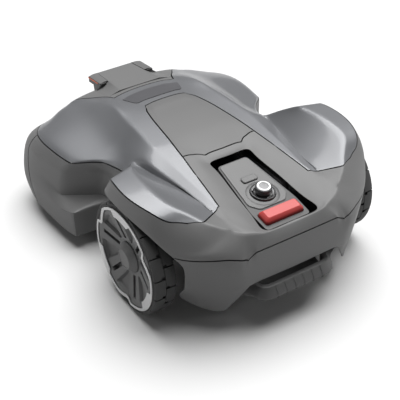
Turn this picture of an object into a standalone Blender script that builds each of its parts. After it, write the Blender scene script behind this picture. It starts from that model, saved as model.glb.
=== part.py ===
"""Robotic lawn mower, built as separate parts: floating body shell, sealed chassis, drive wheels,
front casters, cutting unit with height adjustment, and control console. Metres, +Z up, +Y forward."""

import math

import bmesh
import bpy
from mathutils import Matrix, Vector

# Fits and shell skins
FIT = 0.0003
SKIN = 0.0025
SEAM = 0.0009
SKIN_LEVELS = 1

# Drive wheels
WHEEL_Y = -0.142
WHEEL_RADIUS = 0.115
WHEEL_TOP = 2 * WHEEL_RADIUS
WHEEL_OUTER_X = 0.263
TYRE_WIDTH = 0.048
TYRE_WALL = 0.012
LUG_COUNT = 16
LUG_DEPTH = 0.0045
LUG_SHARES = ((0.0, 0.0), (0.80, 0.0), (0.83, LUG_DEPTH), (0.97, LUG_DEPTH))
TRIM_INSET = 0.0082
TRIM_STEP = 0.0056
TRIM_THICKNESS = 0.002
TRIM_WIDTH = 0.0046
TRIM_TAB = 0.0143
RIM_WEB = 0.012
RIM_RISE = 0.0012
SPOKE_COUNT = 6
SPOKE_TURN = math.radians(20)
SLOT_REACH = (0.045, 0.077)
SLOT_WIDTH = 0.0065
POCKET_REACH = (0.050, 0.083)
POCKET_DEPTH = 0.0065
HUB_CAP_RADIUS = 0.035
HUB_TOP_RADIUS = 0.0235
HUB_CAP_HEIGHT = 0.0145
AXLE_RADIUS = 0.008
AXLE_REACH = 0.030
WHEEL_INNER_X = WHEEL_OUTER_X - TRIM_THICKNESS - FIT - TYRE_WIDTH

# Chassis
CHASSIS_HALF_WIDTH = 0.150
CHASSIS_REAR_Y = -0.285
CHASSIS_STEP_Y = 0.112
CHASSIS_FRONT_Y = 0.282
NOSE_HALF_WIDTH = 0.080
TUB_BOTTOM_Z = 0.075
TUB_TOP_Z = 0.135
TUB_WALL = 0.003
SEAL_HEIGHT = 0.0018
LID_TOP_Z = 0.165

# Front casters
CASTER_X = 0.165
CASTER_Y = 0.200
CASTER_TRAIL = 0.022
CASTER_RADIUS = 0.042
CASTER_WIDTH = 0.038
FORK_GAP = 0.0015
FORK_LEG = 0.004
FORK_CROWN_HEIGHT = 0.012
STEM_RADIUS = 0.006
BUSH_RADIUS = 0.010
BUSH_FLANGE_RADIUS = 0.014
BUSH_FLANGE_HEIGHT = 0.003
ARM_HALF_WIDTH = 0.026
ARM_HEIGHT = 0.017

# Drive line
GEARBOX_RADIUS = 0.038
GEARBOX_GAP = 0.0104

# Cutting unit
CUT_Y = 0.020
CUT_TRAVEL = 0.020
DISC_RADIUS = 0.095
DISC_THICKNESS = 0.003
DISC_Z = 0.040
DISC_HUB_RADIUS = 0.022
CUT_MOTOR_RADIUS = 0.036
CUT_MOTOR_HEIGHT = 0.045
CUT_WELL_RADIUS = 0.052
BLADE_COUNT = 3
BLADE_PIVOT_RADIUS = 0.084
BLADE_LENGTH = 0.036
BLADE_WIDTH = 0.018
BLADE_THICKNESS = 0.0008
BLADE_HOLE_RADIUS = 0.0035
BLADE_SCREW_RADIUS = 0.0030
SKID_RADIUS = 0.072
SKID_DROP = 0.010
SKID_THICKNESS = 0.0025
SPINDLE_RADIUS = 0.004
SPINDLE_X = 0.060
GUIDE_X = -0.060
GUIDE_RADIUS = 0.004

# Control console
CONSOLE_Y = -0.2085
CONSOLE_Z = 0.2163
CONSOLE_TILT = math.radians(7.7)
PANEL_THICKNESS = 0.0015
STOP_V = -0.0735
STOP_WIDTH = 0.086
STOP_LENGTH = 0.031
STOP_HEIGHT = 0.013
STOP_TRAVEL = 0.004
DIAL_V = -0.015
DIAL_RADIUS = 0.0165
DIAL_HEIGHT = 0.0125
DIAL_BEZEL_RADIUS = 0.0245
DIAL_PLUNGER_RADIUS = 0.007
DIAL_TRAVEL = 0.002

# Carry handle
HANDLE_HALF_WIDTH = 0.079
HANDLE_CORNER = 0.010
HANDLE_REAR_Y = -0.345
HANDLE_TOP_Z = 0.100
HANDLE_HEIGHT = 0.038
HANDLE_WALL = 0.012

BOARD_THICKNESS = 0.0016
ROUND = 32

# Shell cage, right half, from the rear seam (first point) to the nose (last point).
INNER_SEAM = (
    (0.104, -0.2285, 0.2312), (0.1015, -0.207, 0.2338), (0.099, -0.185, 0.2362), (0.093, -0.135, 0.2412),
    (0.0855, -0.078, 0.2465),
    (0.080, -0.035, 0.2490), (0.0755, 0.000, 0.2500), (0.069, 0.050, 0.2500), (0.061, 0.092, 0.2485),
    (0.0515, 0.120, 0.2462), (0.075, 0.218, 0.2285), (0.100, 0.262, 0.2145), (0.124, 0.303, 0.1980),
    (0.127, 0.3195, 0.1820), (0.122, 0.3305, 0.1580),
)
SPINE_CREASE = (
    (0.1135, -0.2288, 0.2288), (0.1115, -0.209, 0.2324), (0.110, -0.187, 0.2352), (0.112, -0.136, 0.2395),
    (0.114, -0.080, 0.2435),
    (0.116, -0.035, 0.2460), (0.1165, -0.005, 0.2470), (0.113, 0.050, 0.2475), (0.1105, 0.086, 0.2470),
    (0.107, 0.122, 0.2455), (0.103, 0.192, 0.2380), (0.120, 0.258, 0.2110), (0.135, 0.301, 0.1950),
    (0.138, 0.318, 0.1800), (0.132, 0.330, 0.1580),
)
VALLEY = (
    (0.133, -0.2265, 0.2105), (0.131, -0.207, 0.2165), (0.129, -0.186, 0.2220), (0.130, -0.136, 0.2275),
    (0.134, -0.076, 0.2300),
    (0.138, -0.030, 0.2300), (0.140, -0.002, 0.2285), (0.138, 0.052, 0.2265), (0.139, 0.082, 0.2255),
    (0.140, 0.112, 0.2235), (0.138, 0.190, 0.2210), (0.140, 0.256, 0.2050), (0.150, 0.298, 0.1910),
    (0.151, 0.316, 0.1770), (0.142, 0.3295, 0.1580),
)
SHOULDER = (
    (0.163, -0.2235, 0.2125), (0.155, -0.209, 0.2275), (0.154, -0.190, 0.2350), (0.154, -0.140, 0.2405),
    (0.157, -0.082, 0.2435), (0.161, -0.040, 0.2440), (0.160, -0.012, 0.2200), (0.156, 0.050, 0.2130),
    (0.161, 0.080, 0.2105),
    (0.170, 0.110, 0.2070), (0.172, 0.190, 0.2070), (0.168, 0.253, 0.1985), (0.172, 0.294, 0.1860),
    (0.167, 0.3125, 0.1735), (0.155, 0.3285, 0.1580),
)
RIDGE = (
    (0.190, -0.2205, 0.2185), (0.196, -0.2145, 0.2460), (0.207, -0.1985, WHEEL_TOP + 0.0305),
    (0.2065, -0.150, WHEEL_TOP + 0.0355),
    (0.2005, -0.096, WHEEL_TOP + 0.0365), (0.1955, -0.060, WHEEL_TOP + 0.0310), (0.170, -0.014, 0.2120),
    (0.175, 0.048, 0.2030), (0.192, 0.080, 0.1975),
    (0.216, 0.112, 0.1910), (0.223, 0.192, 0.1905), (0.213, 0.250, 0.1840), (0.200, 0.287, 0.1760),
    (0.186, 0.3075, 0.1675), (0.168, 0.3265, 0.1575),
)
OUTER_SEAM = (
    (0.201, -0.218, 0.2195), (0.2235, -0.2195, 0.2435), (0.2392, -0.2045, WHEEL_TOP + 0.0245),
    (0.2478, -0.153, WHEEL_TOP + 0.0260),
    (0.2480, -0.086, WHEEL_TOP + 0.0270), (0.2425, -0.070, WHEEL_TOP + 0.0245), (0.178, -0.012, 0.2030),
    (0.186, 0.048, 0.1950), (0.207, 0.082, 0.1895),
    (0.238, 0.115, 0.1795), (0.2475, 0.195, 0.1760), (0.241, 0.264, 0.1680), (0.215, 0.303, 0.1610),
    (0.200, 0.312, 0.1590), (0.180, 0.3225, 0.1575),
)
FENDER_FRONT, HATCH_REAR, HATCH_FRONT, ANTENNA_REAR = 5, 4, 9, 10
BRIDGE_FRONT = ((0.0, 0.131, 0.2472), (0.030, 0.1295, 0.2471),
                (0.0425, 0.1265, 0.2467), INNER_SEAM[HATCH_FRONT])
BRIDGE_REAR = ((0.0, 0.224, 0.2325), (0.030, 0.2235, 0.2322),
               (0.055, 0.2215, 0.2308), INNER_SEAM[ANTENNA_REAR])
HATCH_CENTRE = (
    ((0.0, -0.035, 0.2505), (0.045, -0.035, 0.2500), (0.064, -0.035, 0.2495), INNER_SEAM[5]),
    ((0.0, 0.000, 0.2520), (0.043, 0.000, 0.2515), (0.060, 0.000, 0.2508), INNER_SEAM[6]),
    ((0.0, 0.050, 0.2520), (0.040, 0.050, 0.2515), (0.056, 0.050, 0.2508), INNER_SEAM[7]),
    ((0.0, 0.096, 0.2500), (0.036, 0.095, 0.2498), (0.050, 0.093, 0.2492), INNER_SEAM[8]),
)

# Rear cover: centre strip from the hatch to the bumper seam, then round the fender to its front.
COVER_STRIP = (
    ((0.0, -0.092, 0.2445), (0.043, -0.091, 0.2435), (0.062, -0.080, 0.2455), INNER_SEAM[4]),
    ((0.0, -0.111, 0.2370), (0.042, -0.110, 0.2365), (0.067, -0.108, 0.2425), (0.0895, -0.108, 0.2435)),
    ((0.0, -0.135, 0.2340), (0.045, -0.135, 0.2340), (0.070, -0.135, 0.2400), INNER_SEAM[3]),
    ((0.0, -0.185, 0.2280), (0.050, -0.185, 0.2280), (0.076, -0.185, 0.2340), INNER_SEAM[2]),
    ((0.0, -0.207, 0.2250), (0.052, -0.207, 0.2250), (0.078, -0.207, 0.2310), INNER_SEAM[1]),
    ((0.0, -0.228, 0.2220), (0.054, -0.228, 0.2220), (0.080, -0.228, 0.2275), INNER_SEAM[0]),
    ((0.0, -0.280, 0.2150), (0.058, -0.280, 0.2150), (0.081, -0.272, 0.2205), (0.103, -0.262, 0.2205)),
    ((0.0, -0.317, 0.2125), (0.058, -0.316, 0.2125), (0.079, -0.304, 0.2150), (0.101, -0.280, 0.2165)),
    ((0.0, -0.3225, 0.2118), (0.059, -0.3218, 0.2115), (0.079, -0.3125, 0.2112), (0.100, -0.2915, 0.2115)),
    ((0.0, -0.336, 0.1910), (0.088, -0.335, 0.1910), (0.100, -0.333, 0.1845), (0.115, -0.329, 0.1780)),
)
RECESS_ROWS = range(1, 7)
COVER_CORNER = (
    (INNER_SEAM[0], (0.103, -0.262, 0.2205), (0.101, -0.280, 0.2165), (0.100, -0.2915, 0.2115),
     (0.115, -0.329, 0.1780)),
    (SPINE_CREASE[0], (0.113, -0.252, 0.2190), (0.112, -0.266, 0.2160), (0.112, -0.2765, 0.2110),
     (0.131, -0.3175, 0.1762)),
    (VALLEY[0], (0.1315, -0.243, 0.2110), (0.130, -0.2525, 0.2105), (0.1295, -0.261, 0.2090),
     (0.148, -0.304, 0.1740)),
    (SHOULDER[0], (0.162, -0.233, 0.2110), (0.161, -0.239, 0.2092), (0.160, -0.2455, 0.2070),
     (0.168, -0.286, 0.1700)),
    (RIDGE[0], (0.1915, -0.226, 0.2145), (0.1925, -0.230, 0.2100), (0.1932, -0.2345, 0.2048),
     (0.188, -0.268, 0.1640)),
    (OUTER_SEAM[0], (0.2045, -0.223, 0.2145), (0.2065, -0.227, 0.2090), (0.208, -0.2315, 0.2030),
     (0.2035, -0.2555, 0.1575)),
)
FENDER_TAIL = (
    OUTER_SEAM[1], (0.2262, -0.2262, 0.2340), (0.227, -0.232, 0.2220), (0.2265, -0.2385, 0.2080),
    (0.2205, -0.2495, 0.1840),
)
FENDER_REAR = (
    OUTER_SEAM[2], (0.2425, -0.209, WHEEL_TOP + 0.0170), (0.244, -0.213, WHEEL_TOP + 0.0090),
    (0.245, -0.2165, WHEEL_TOP + 0.0010),
    (0.2455, -0.2195, WHEEL_TOP - 0.0075),
)
FENDER_ARCH = ((0.2525, -0.150, WHEEL_TOP + 0.0085), (0.2525, -0.086, WHEEL_TOP + 0.0090),
               (0.2465, -0.064, WHEEL_TOP + 0.0030))
BUMPER_MIDDLE = (
    (0.0, -0.3375, 0.150), (0.090, -0.337, 0.150), (0.108, -0.334, 0.148), (0.126, -0.326, 0.142),
    (0.140, -0.314, 0.136), (0.153, -0.302, 0.130), (0.171, -0.284, 0.126), (0.189, -0.267, 0.122),
    (0.202, -0.254, 0.120),
)
BUMPER_BOTTOM = (
    (0.0, -0.334, 0.110), (0.092, -0.334, 0.112), (0.110, -0.330, 0.110), (0.127, -0.318, 0.086),
    (0.139, -0.306, 0.062), (0.151, -0.292, 0.047), (0.168, -0.276, 0.051), (0.185, -0.259, 0.058),
    (0.198, -0.2455, 0.064),
)

# Front walls, from the waist behind the hump to the front bumper seam, each from the top seam down.
SIDE_WALL = (
    (OUTER_SEAM[6], (0.182, -0.010, 0.188), (0.187, -0.008, 0.118), (0.189, -0.006, 0.104),
     (0.190, -0.004, 0.060)),
    (OUTER_SEAM[7], (0.190, 0.052, 0.171), (0.196, 0.054, 0.113), (0.200, 0.052, 0.101),
     (0.201, 0.049, 0.036)),
    (OUTER_SEAM[8], (0.205, 0.090, 0.163), (0.208, 0.092, 0.108), (0.262, 0.064, 0.093),
     (0.263, 0.060, 0.034)),
    (OUTER_SEAM[9], (0.250, 0.128, 0.1545), (0.254, 0.137, 0.110), (0.271, 0.110, 0.086),
     (0.273, 0.104, 0.033)),
    (OUTER_SEAM[10], (0.262, 0.200, 0.1490), (0.268, 0.200, 0.108), (0.277, 0.188, 0.079),
     (0.279, 0.178, 0.034)),
    (OUTER_SEAM[11], (0.262, 0.268, 0.1420), (0.272, 0.258, 0.100), (0.2795, 0.235, 0.069),
     (0.280, 0.207, 0.036)),
)
NOSE_TOP = (RIDGE[14], SHOULDER[14], VALLEY[14], SPINE_CREASE[14], INNER_SEAM[14],
            (0.085, 0.3320, 0.1570), (0.042, 0.3335, 0.1560), (0.0, 0.3340, 0.1560))
NOSE_WALL = (
    SIDE_WALL[5],
    (OUTER_SEAM[12], (0.236, 0.312, 0.138), (0.252, 0.303, 0.098), (0.262, 0.286, 0.068),
     (0.263, 0.268, 0.038)),
    (OUTER_SEAM[13], (0.212, 0.3235, 0.137), (0.222, 0.323, 0.097), (0.229, 0.317, 0.067),
     (0.229, 0.308, 0.039)),
    (OUTER_SEAM[14], (0.186, 0.332, 0.136), (0.190, 0.336, 0.096), (0.193, 0.335, 0.066),
     (0.193, 0.330, 0.040)),
    *[(p, (p[0], p[1] + 0.0105, 0.136), (p[0], p[1] + 0.014, 0.096), (p[0], p[1] + 0.014, 0.066),
       (p[0], p[1] + 0.009, 0.041)) for p in NOSE_TOP],
)
ANTENNA_BASE = (
    (BRIDGE_REAR[0], (0.0, 0.266, 0.2220), (0.0, 0.306, 0.2080), (0.0, 0.3265, 0.1850), NOSE_TOP[7]),
    (BRIDGE_REAR[1], (0.036, 0.2655, 0.2213), (0.045, 0.306, 0.2065), (0.047, 0.3260, 0.1848), NOSE_TOP[6]),
    (BRIDGE_REAR[2], (0.072, 0.2640, 0.2182), (0.088, 0.305, 0.2030), (0.092, 0.324, 0.1840), NOSE_TOP[5]),
    INNER_SEAM[ANTENNA_REAR:],
)

# Antenna block, its clips and the name plate
LAID_GAP = 0.0012
BLOCK_HALF_WIDTH = 0.067
BLOCK_NECK = 0.046
BLOCK_REAR_Y = 0.238
BLOCK_FRONT_Y = 0.349
BLOCK_CHIN_Y = 0.325
BLOCK_TOP_Z = 0.2315
BLOCK_DROP = 0.0145
BLOCK_LIP = 0.014
CLIP_REAR_Y = 0.295
CLIP_THICKNESS = 0.005
LINE_WIDTH = 0.0012
PLATE_REAR = (0.055, 0.152)
PLATE_FRONT = (0.069, 0.193)
PLATE_THICKNESS = 0.0012


def clear_scene():
    """Removes every object, then makes the collections for the parts and the cutters."""
    for obj in list(bpy.data.objects):
        bpy.data.objects.remove(obj)
    parts = bpy.data.collections.new("robotic_mower")
    cutters = bpy.data.collections.new("cutters")
    for collection in (parts, cutters):
        bpy.context.scene.collection.children.link(collection)
    return parts, cutters


PARTS, CUTTERS = clear_scene()


def material(name, color, roughness, metallic=0.0):
    """A Principled material of one colour."""
    made = bpy.data.materials.new(name)
    made.use_nodes = True
    shader = made.node_tree.nodes["Principled BSDF"]
    shader.inputs["Base Color"].default_value = (*color, 1.0)
    shader.inputs["Roughness"].default_value = roughness
    shader.inputs["Metallic"].default_value = metallic
    return made


PAINT = material("painted_grey", (0.20, 0.205, 0.215), 0.35, 0.3)
GREY = material("moulded_grey", (0.22, 0.22, 0.22), 0.55)
DARK = material("dark_plastic", (0.05, 0.05, 0.05), 0.6)
BLACK = material("black_plastic", (0.015, 0.015, 0.015), 0.5)
RUBBER = material("rubber", (0.03, 0.03, 0.03), 0.85)
SILVER = material("silver_trim", (0.62, 0.63, 0.63), 0.4, 0.3)
RED = material("stop_red", (0.75, 0.06, 0.05), 0.4)
ORANGE = material("orange_trim", (0.9, 0.25, 0.08), 0.5)
STEEL = material("steel", (0.6, 0.6, 0.6), 0.3, 1.0)
BRASS = material("brass", (0.75, 0.6, 0.25), 0.35, 1.0)
BOARD = material("circuit_board", (0.03, 0.2, 0.08), 0.5)
CELL = material("battery_wrap", (0.05, 0.08, 0.15), 0.5)


def finish(obj, look, smooth=30.0):
    """Puts an object among the parts with its material and smooth shading."""
    for owner in obj.users_collection:
        owner.objects.unlink(obj)
    PARTS.objects.link(obj)
    obj.data.materials.clear()
    obj.data.materials.append(look)
    if obj.type == "MESH":
        obj.data.shade_smooth()
        obj.data.set_sharp_from_angle(angle=math.radians(smooth))
    return obj


def mesh_object(name, bm):
    """A new object from a bmesh, linked to the scene."""
    mesh = bpy.data.meshes.new(name)
    bmesh.ops.recalc_face_normals(bm, faces=bm.faces)
    bm.to_mesh(mesh)
    bm.free()
    obj = bpy.data.objects.new(name, mesh)
    bpy.context.scene.collection.objects.link(obj)
    return obj


def as_cutter(obj):
    """Hides a helper from the build."""
    for owner in obj.users_collection:
        owner.objects.unlink(obj)
    CUTTERS.objects.link(obj)
    obj.hide_render = True
    obj.display_type = "WIRE"
    return obj


def boolean(obj, other, operation):
    """Adds a Boolean with another object, which becomes a hidden helper."""
    modifier = obj.modifiers.new(operation.lower(), "BOOLEAN")
    modifier.operation = operation
    modifier.object = as_cutter(other)
    return obj


def box(name, low, high, bevel=0.0):
    """A box between two corners, with rounded edges if a bevel is given."""
    bm = bmesh.new()
    bmesh.ops.create_cube(bm, size=1.0)
    size = Vector(high) - Vector(low)
    bmesh.ops.scale(bm, vec=size, verts=bm.verts)
    bmesh.ops.translate(bm, vec=(Vector(low) + Vector(high)) / 2, verts=bm.verts)
    obj = mesh_object(name, bm)
    if bevel:
        rounded = obj.modifiers.new("bevel", "BEVEL")
        rounded.width = bevel
        rounded.segments = 2
    return obj


def cylinder(name, radius, start, end, sides=ROUND, far_radius=None):
    """A cylinder or cone between two points."""
    start, end = Vector(start), Vector(end)
    axis = end - start
    bm = bmesh.new()
    bmesh.ops.create_cone(bm, cap_ends=True, segments=sides, radius1=radius,
                          radius2=radius if far_radius is None else far_radius, depth=axis.length)
    turn = axis.to_track_quat("Z", "Y").to_matrix().to_4x4()
    bmesh.ops.transform(bm, matrix=Matrix.Translation((start + end) / 2) @ turn, verts=bm.verts)
    return mesh_object(name, bm)


def turned(name, profile, steps=ROUND):
    """A profile of (radius, height) points turned about Z, outer side from top to bottom."""
    mesh = bpy.data.meshes.new(name)
    points = [(r, 0.0, z) for r, z in profile]
    mesh.from_pydata(points, [(i, i + 1) for i in range(len(points) - 1)], [])
    obj = bpy.data.objects.new(name, mesh)
    bpy.context.scene.collection.objects.link(obj)
    screw = obj.modifiers.new("screw", "SCREW")
    screw.steps = screw.render_steps = steps
    screw.use_merge_vertices = True
    screw.merge_threshold = 0.00005
    return obj


def prism(name, outlines, low, high):
    """A flat outline with holes, extruded between two heights, as a mesh."""
    curve = bpy.data.curves.new(name, "CURVE")
    curve.dimensions = "2D"
    curve.fill_mode = "BOTH"
    curve.extrude = (high - low) / 2
    for outline in outlines:
        spline = curve.splines.new("POLY")
        spline.points.add(len(outline) - 1)
        for point, (x, y) in zip(spline.points, outline):
            point.co = (x, y, 0.0, 1.0)
        spline.use_cyclic_u = True
    obj = bpy.data.objects.new(name, curve)
    obj.location.z = (low + high) / 2
    bpy.context.scene.collection.objects.link(obj)
    return to_mesh(obj)


def to_mesh(obj):
    """The evaluated object as a plain mesh object in its place, with its seams welded."""
    bpy.context.view_layer.update()
    graph = bpy.context.evaluated_depsgraph_get()
    mesh = bpy.data.meshes.new_from_object(obj.evaluated_get(graph))
    bm = bmesh.new()
    bm.from_mesh(mesh)
    bmesh.ops.remove_doubles(bm, verts=bm.verts, dist=0.000001)
    bmesh.ops.transform(bm, matrix=obj.matrix_world, verts=bm.verts)
    name = obj.name
    bpy.data.objects.remove(obj)
    return mesh_object(name, bm)


def polar(radius, turn):
    """A point of the plane at an angle."""
    return radius * math.cos(turn), radius * math.sin(turn)


def ring_points(radius, sides=ROUND, centre=(0.0, 0.0)):
    """Points of a circle in the plane."""
    return [(centre[0] + radius * math.cos(2 * math.pi * k / sides),
             centre[1] + radius * math.sin(2 * math.pi * k / sides)) for k in range(sides)]


def mirrored_outline(half):
    """A closed outline from its right half, listed from rear to front."""
    return [*half, *[(-x, y) for x, y in reversed(half) if x > 0]]


def placed(obj, matrix):
    """Moves an object's mesh by a matrix."""
    obj = to_mesh(obj)
    obj.data.transform(matrix)
    return obj


class ShellCage:
    """A cage for the whole outer shell, smoothed as one surface and then cut into pieces at its seams."""

    def __init__(self):
        self.bm = bmesh.new()
        self.names = []
        self.creases = []

    def patch(self, name, rows, skip=()):
        """Adds quads between rows of points to a piece; skip holds (row, column) cells to leave open."""
        if name not in self.names:
            self.names.append(name)
        grid = [[self.bm.verts.new(p) for p in row] for row in rows]
        for i in range(len(rows) - 1):
            for j in range(len(rows[i]) - 1):
                if (i, j) not in skip:
                    face = self.bm.faces.new((grid[i][j], grid[i][j + 1], grid[i + 1][j + 1],
                                              grid[i + 1][j]))
                    face.material_index = self.names.index(name)

    def crease(self, line, weight):
        """Keeps a line of cage points sharp."""
        self.creases.append(([Vector(p) for p in line], weight))

    def surface(self):
        """The smoothed cage of both halves, with the piece of each face as its material index."""
        bm = self.bm
        bmesh.ops.remove_doubles(bm, verts=bm.verts, dist=0.00001)
        bmesh.ops.delete(bm, geom=[v for v in bm.verts if not v.link_faces], context="VERTS")
        layer = bm.edges.layers.float.new("crease_edge")
        for line, weight in self.creases:
            for p, q in zip(line, line[1:]):
                for edge in bm.edges:
                    a, b = (v.co for v in edge.verts)
                    if min((a - p).length + (b - q).length, (a - q).length + (b - p).length) < 0.0001:
                        edge[layer] = weight
        bmesh.ops.recalc_face_normals(bm, faces=bm.faces)
        if sum(f.normal.dot(f.calc_center_median() - Vector((0, 0, 0.05))) for f in bm.faces) < 0:
            bmesh.ops.reverse_faces(bm, faces=bm.faces)
        mesh = bpy.data.meshes.new("shell_cage")
        bm.to_mesh(mesh)
        bm.free()
        obj = bpy.data.objects.new("shell_cage", mesh)
        bpy.context.scene.collection.objects.link(obj)
        mirror = obj.modifiers.new("mirror", "MIRROR")
        mirror.merge_threshold = 0.0001
        mirror.use_clip = True
        smooth = obj.modifiers.new("smooth", "SUBSURF")
        smooth.levels = smooth.render_levels = SKIN_LEVELS
        for name in self.names:
            mesh.materials.append(bpy.data.materials.new(name))
        bpy.context.view_layer.update()
        graph = bpy.context.evaluated_depsgraph_get()
        made = bpy.data.meshes.new_from_object(obj.evaluated_get(graph))
        bpy.data.objects.remove(obj)
        return made

    def pieces(self, looks):
        """One closed thin shell for each piece; a piece whose halves don't meet is made for each side."""
        mesh = self.surface()
        normals = [v.normal.copy() for v in mesh.vertices]
        made = {}
        for index, name in enumerate(self.names):
            faces = [p for p in mesh.polygons if p.material_index == index]
            sides = {name: faces}
            if name == "side_wall":
                sides = {f"{name}_right": [p for p in faces if p.center.x > 0],
                         f"{name}_left": [p for p in faces if p.center.x < 0]}
            for piece, group in sides.items():
                made[piece] = finish(self.thicken(piece, mesh, normals, group), looks[name])
        return made

    @staticmethod
    def thicken(name, mesh, normals, polygons):
        """A closed shell from part of the surface, drawn in from its seams and given its wall."""
        bm = bmesh.new()
        outer = {}
        for polygon in polygons:
            for index in polygon.vertices:
                if index not in outer:
                    outer[index] = bm.verts.new(mesh.vertices[index].co)
            bm.faces.new([outer[index] for index in polygon.vertices])
        moves = {}
        for vert in bm.verts:
            rim = [e for e in vert.link_edges if e.is_boundary]
            if rim:
                inner = [e for e in vert.link_edges if not e.is_boundary] or rim
                pull = sum(((e.other_vert(vert).co - vert.co).normalized() for e in inner), Vector())
                moves[vert] = pull.normalized() * SEAM / 2
        borders = [e.verts[:] for e in bm.edges if e.is_boundary]
        for vert, move in moves.items():
            vert.co += move
        inside = {vert: bm.verts.new(vert.co - normals[index] * SKIN) for index, vert in outer.items()}
        for face in list(bm.faces):
            bm.faces.new([inside[v] for v in reversed(face.verts)])
        for a, b in borders:
            bm.faces.new((a, b, inside[b], inside[a]))
        return mesh_object(name, bm)


def underside(obj, x, y):
    """Height of the lowest face of a part above a place in plan."""
    bpy.context.view_layer.update()
    graph = bpy.context.evaluated_depsgraph_get()
    hit, place, _, _ = obj.evaluated_get(graph).ray_cast((x, y, 0.0), (0.0, 0.0, 1.0))
    if not hit:
        raise ValueError(f"no {obj.name} above {x}, {y}")
    return place.z


def body_shell():
    """The floating outer shell: painted top, hatch, rear cover, bumpers, side walls and antenna base."""
    cage = ShellCage()
    rows = (INNER_SEAM, SPINE_CREASE, VALLEY, SHOULDER, RIDGE, OUTER_SEAM)
    cage.patch("top_shell", rows)
    cage.patch("top_shell", (BRIDGE_FRONT, BRIDGE_REAR))
    cage.crease(SPINE_CREASE[:11], 0.6)
    cage.crease(VALLEY[:7], 0.4)
    cage.crease(RIDGE[:6], 0.6)
    cage.crease([row[FENDER_FRONT] for row in rows[3:]], 0.7)

    cage.patch("centre_hatch", (COVER_STRIP[0], *HATCH_CENTRE, BRIDGE_FRONT))

    cage.patch("rear_cover", COVER_STRIP, skip={(row, 0) for row in RECESS_ROWS})
    cage.patch("rear_cover", COVER_CORNER)
    cage.patch("rear_cover", (COVER_CORNER[5], FENDER_TAIL, FENDER_REAR))
    drop = [FENDER_REAR]
    for high, low in zip(OUTER_SEAM[3:FENDER_FRONT + 1], FENDER_ARCH):
        drop.append(tuple(Vector(high).lerp(Vector(low), t) for t in (0.0, 0.25, 0.5, 0.75, 1.0)))
    cage.patch("rear_cover", drop)
    cage.crease([*COVER_STRIP[8], *[row[3] for row in COVER_CORNER[1:]]], 0.6)
    cage.crease(OUTER_SEAM[:FENDER_FRONT + 1], 0.6)
    cage.crease(drop[-1], 0.6)

    seam = [*COVER_STRIP[9][:3], *[row[4] for row in COVER_CORNER]]
    cage.patch("rear_bumper", (seam, BUMPER_MIDDLE, BUMPER_BOTTOM))
    cage.patch("side_wall", SIDE_WALL)
    for level, weight in ((1, 0.55), (2, 0.6), (3, 0.7)):
        cage.crease([row[level] for row in SIDE_WALL], weight)
    cage.crease(SIDE_WALL[2][3:], 0.6)
    cage.patch("front_bumper", NOSE_WALL)
    cage.patch("antenna_base", ANTENNA_BASE)
    looks = {"top_shell": PAINT, "front_bumper": DARK}
    return cage.pieces({name: looks.get(name, GREY) for name in cage.names})


SHELL = body_shell()


def set_origin(obj, point):
    """Puts an object's origin on its joint without moving the object."""
    obj.data.transform(Matrix.Translation(-Vector(point)))
    obj.location = point
    return obj


def inset(outline, distance):
    """A closed counter-clockwise outline moved inwards by a distance."""
    moved = []
    count = len(outline)
    for k in range(count):
        a, b, c = (Vector(outline[(k + d) % count]) for d in (-1, 0, 1))
        first, second = (b - a).normalized(), (c - b).normalized()
        bisector = Vector((-first.y - second.y, first.x + second.x))
        normal = Vector((-first.y, first.x))
        bisector.normalize()
        moved.append(tuple(b + bisector * distance / bisector.dot(normal)))
    return moved


def union(name, objects):
    """Overlapping solids as one body."""
    first = objects[0]
    for other in objects[1:]:
        boolean(first, other, "UNION")
    first = to_mesh(first)
    first.name = name
    return first


def cut(obj, *others):
    """Cuts other solids from an object."""
    for other in others:
        boolean(obj, other, "DIFFERENCE")
    return to_mesh(obj)


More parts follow.
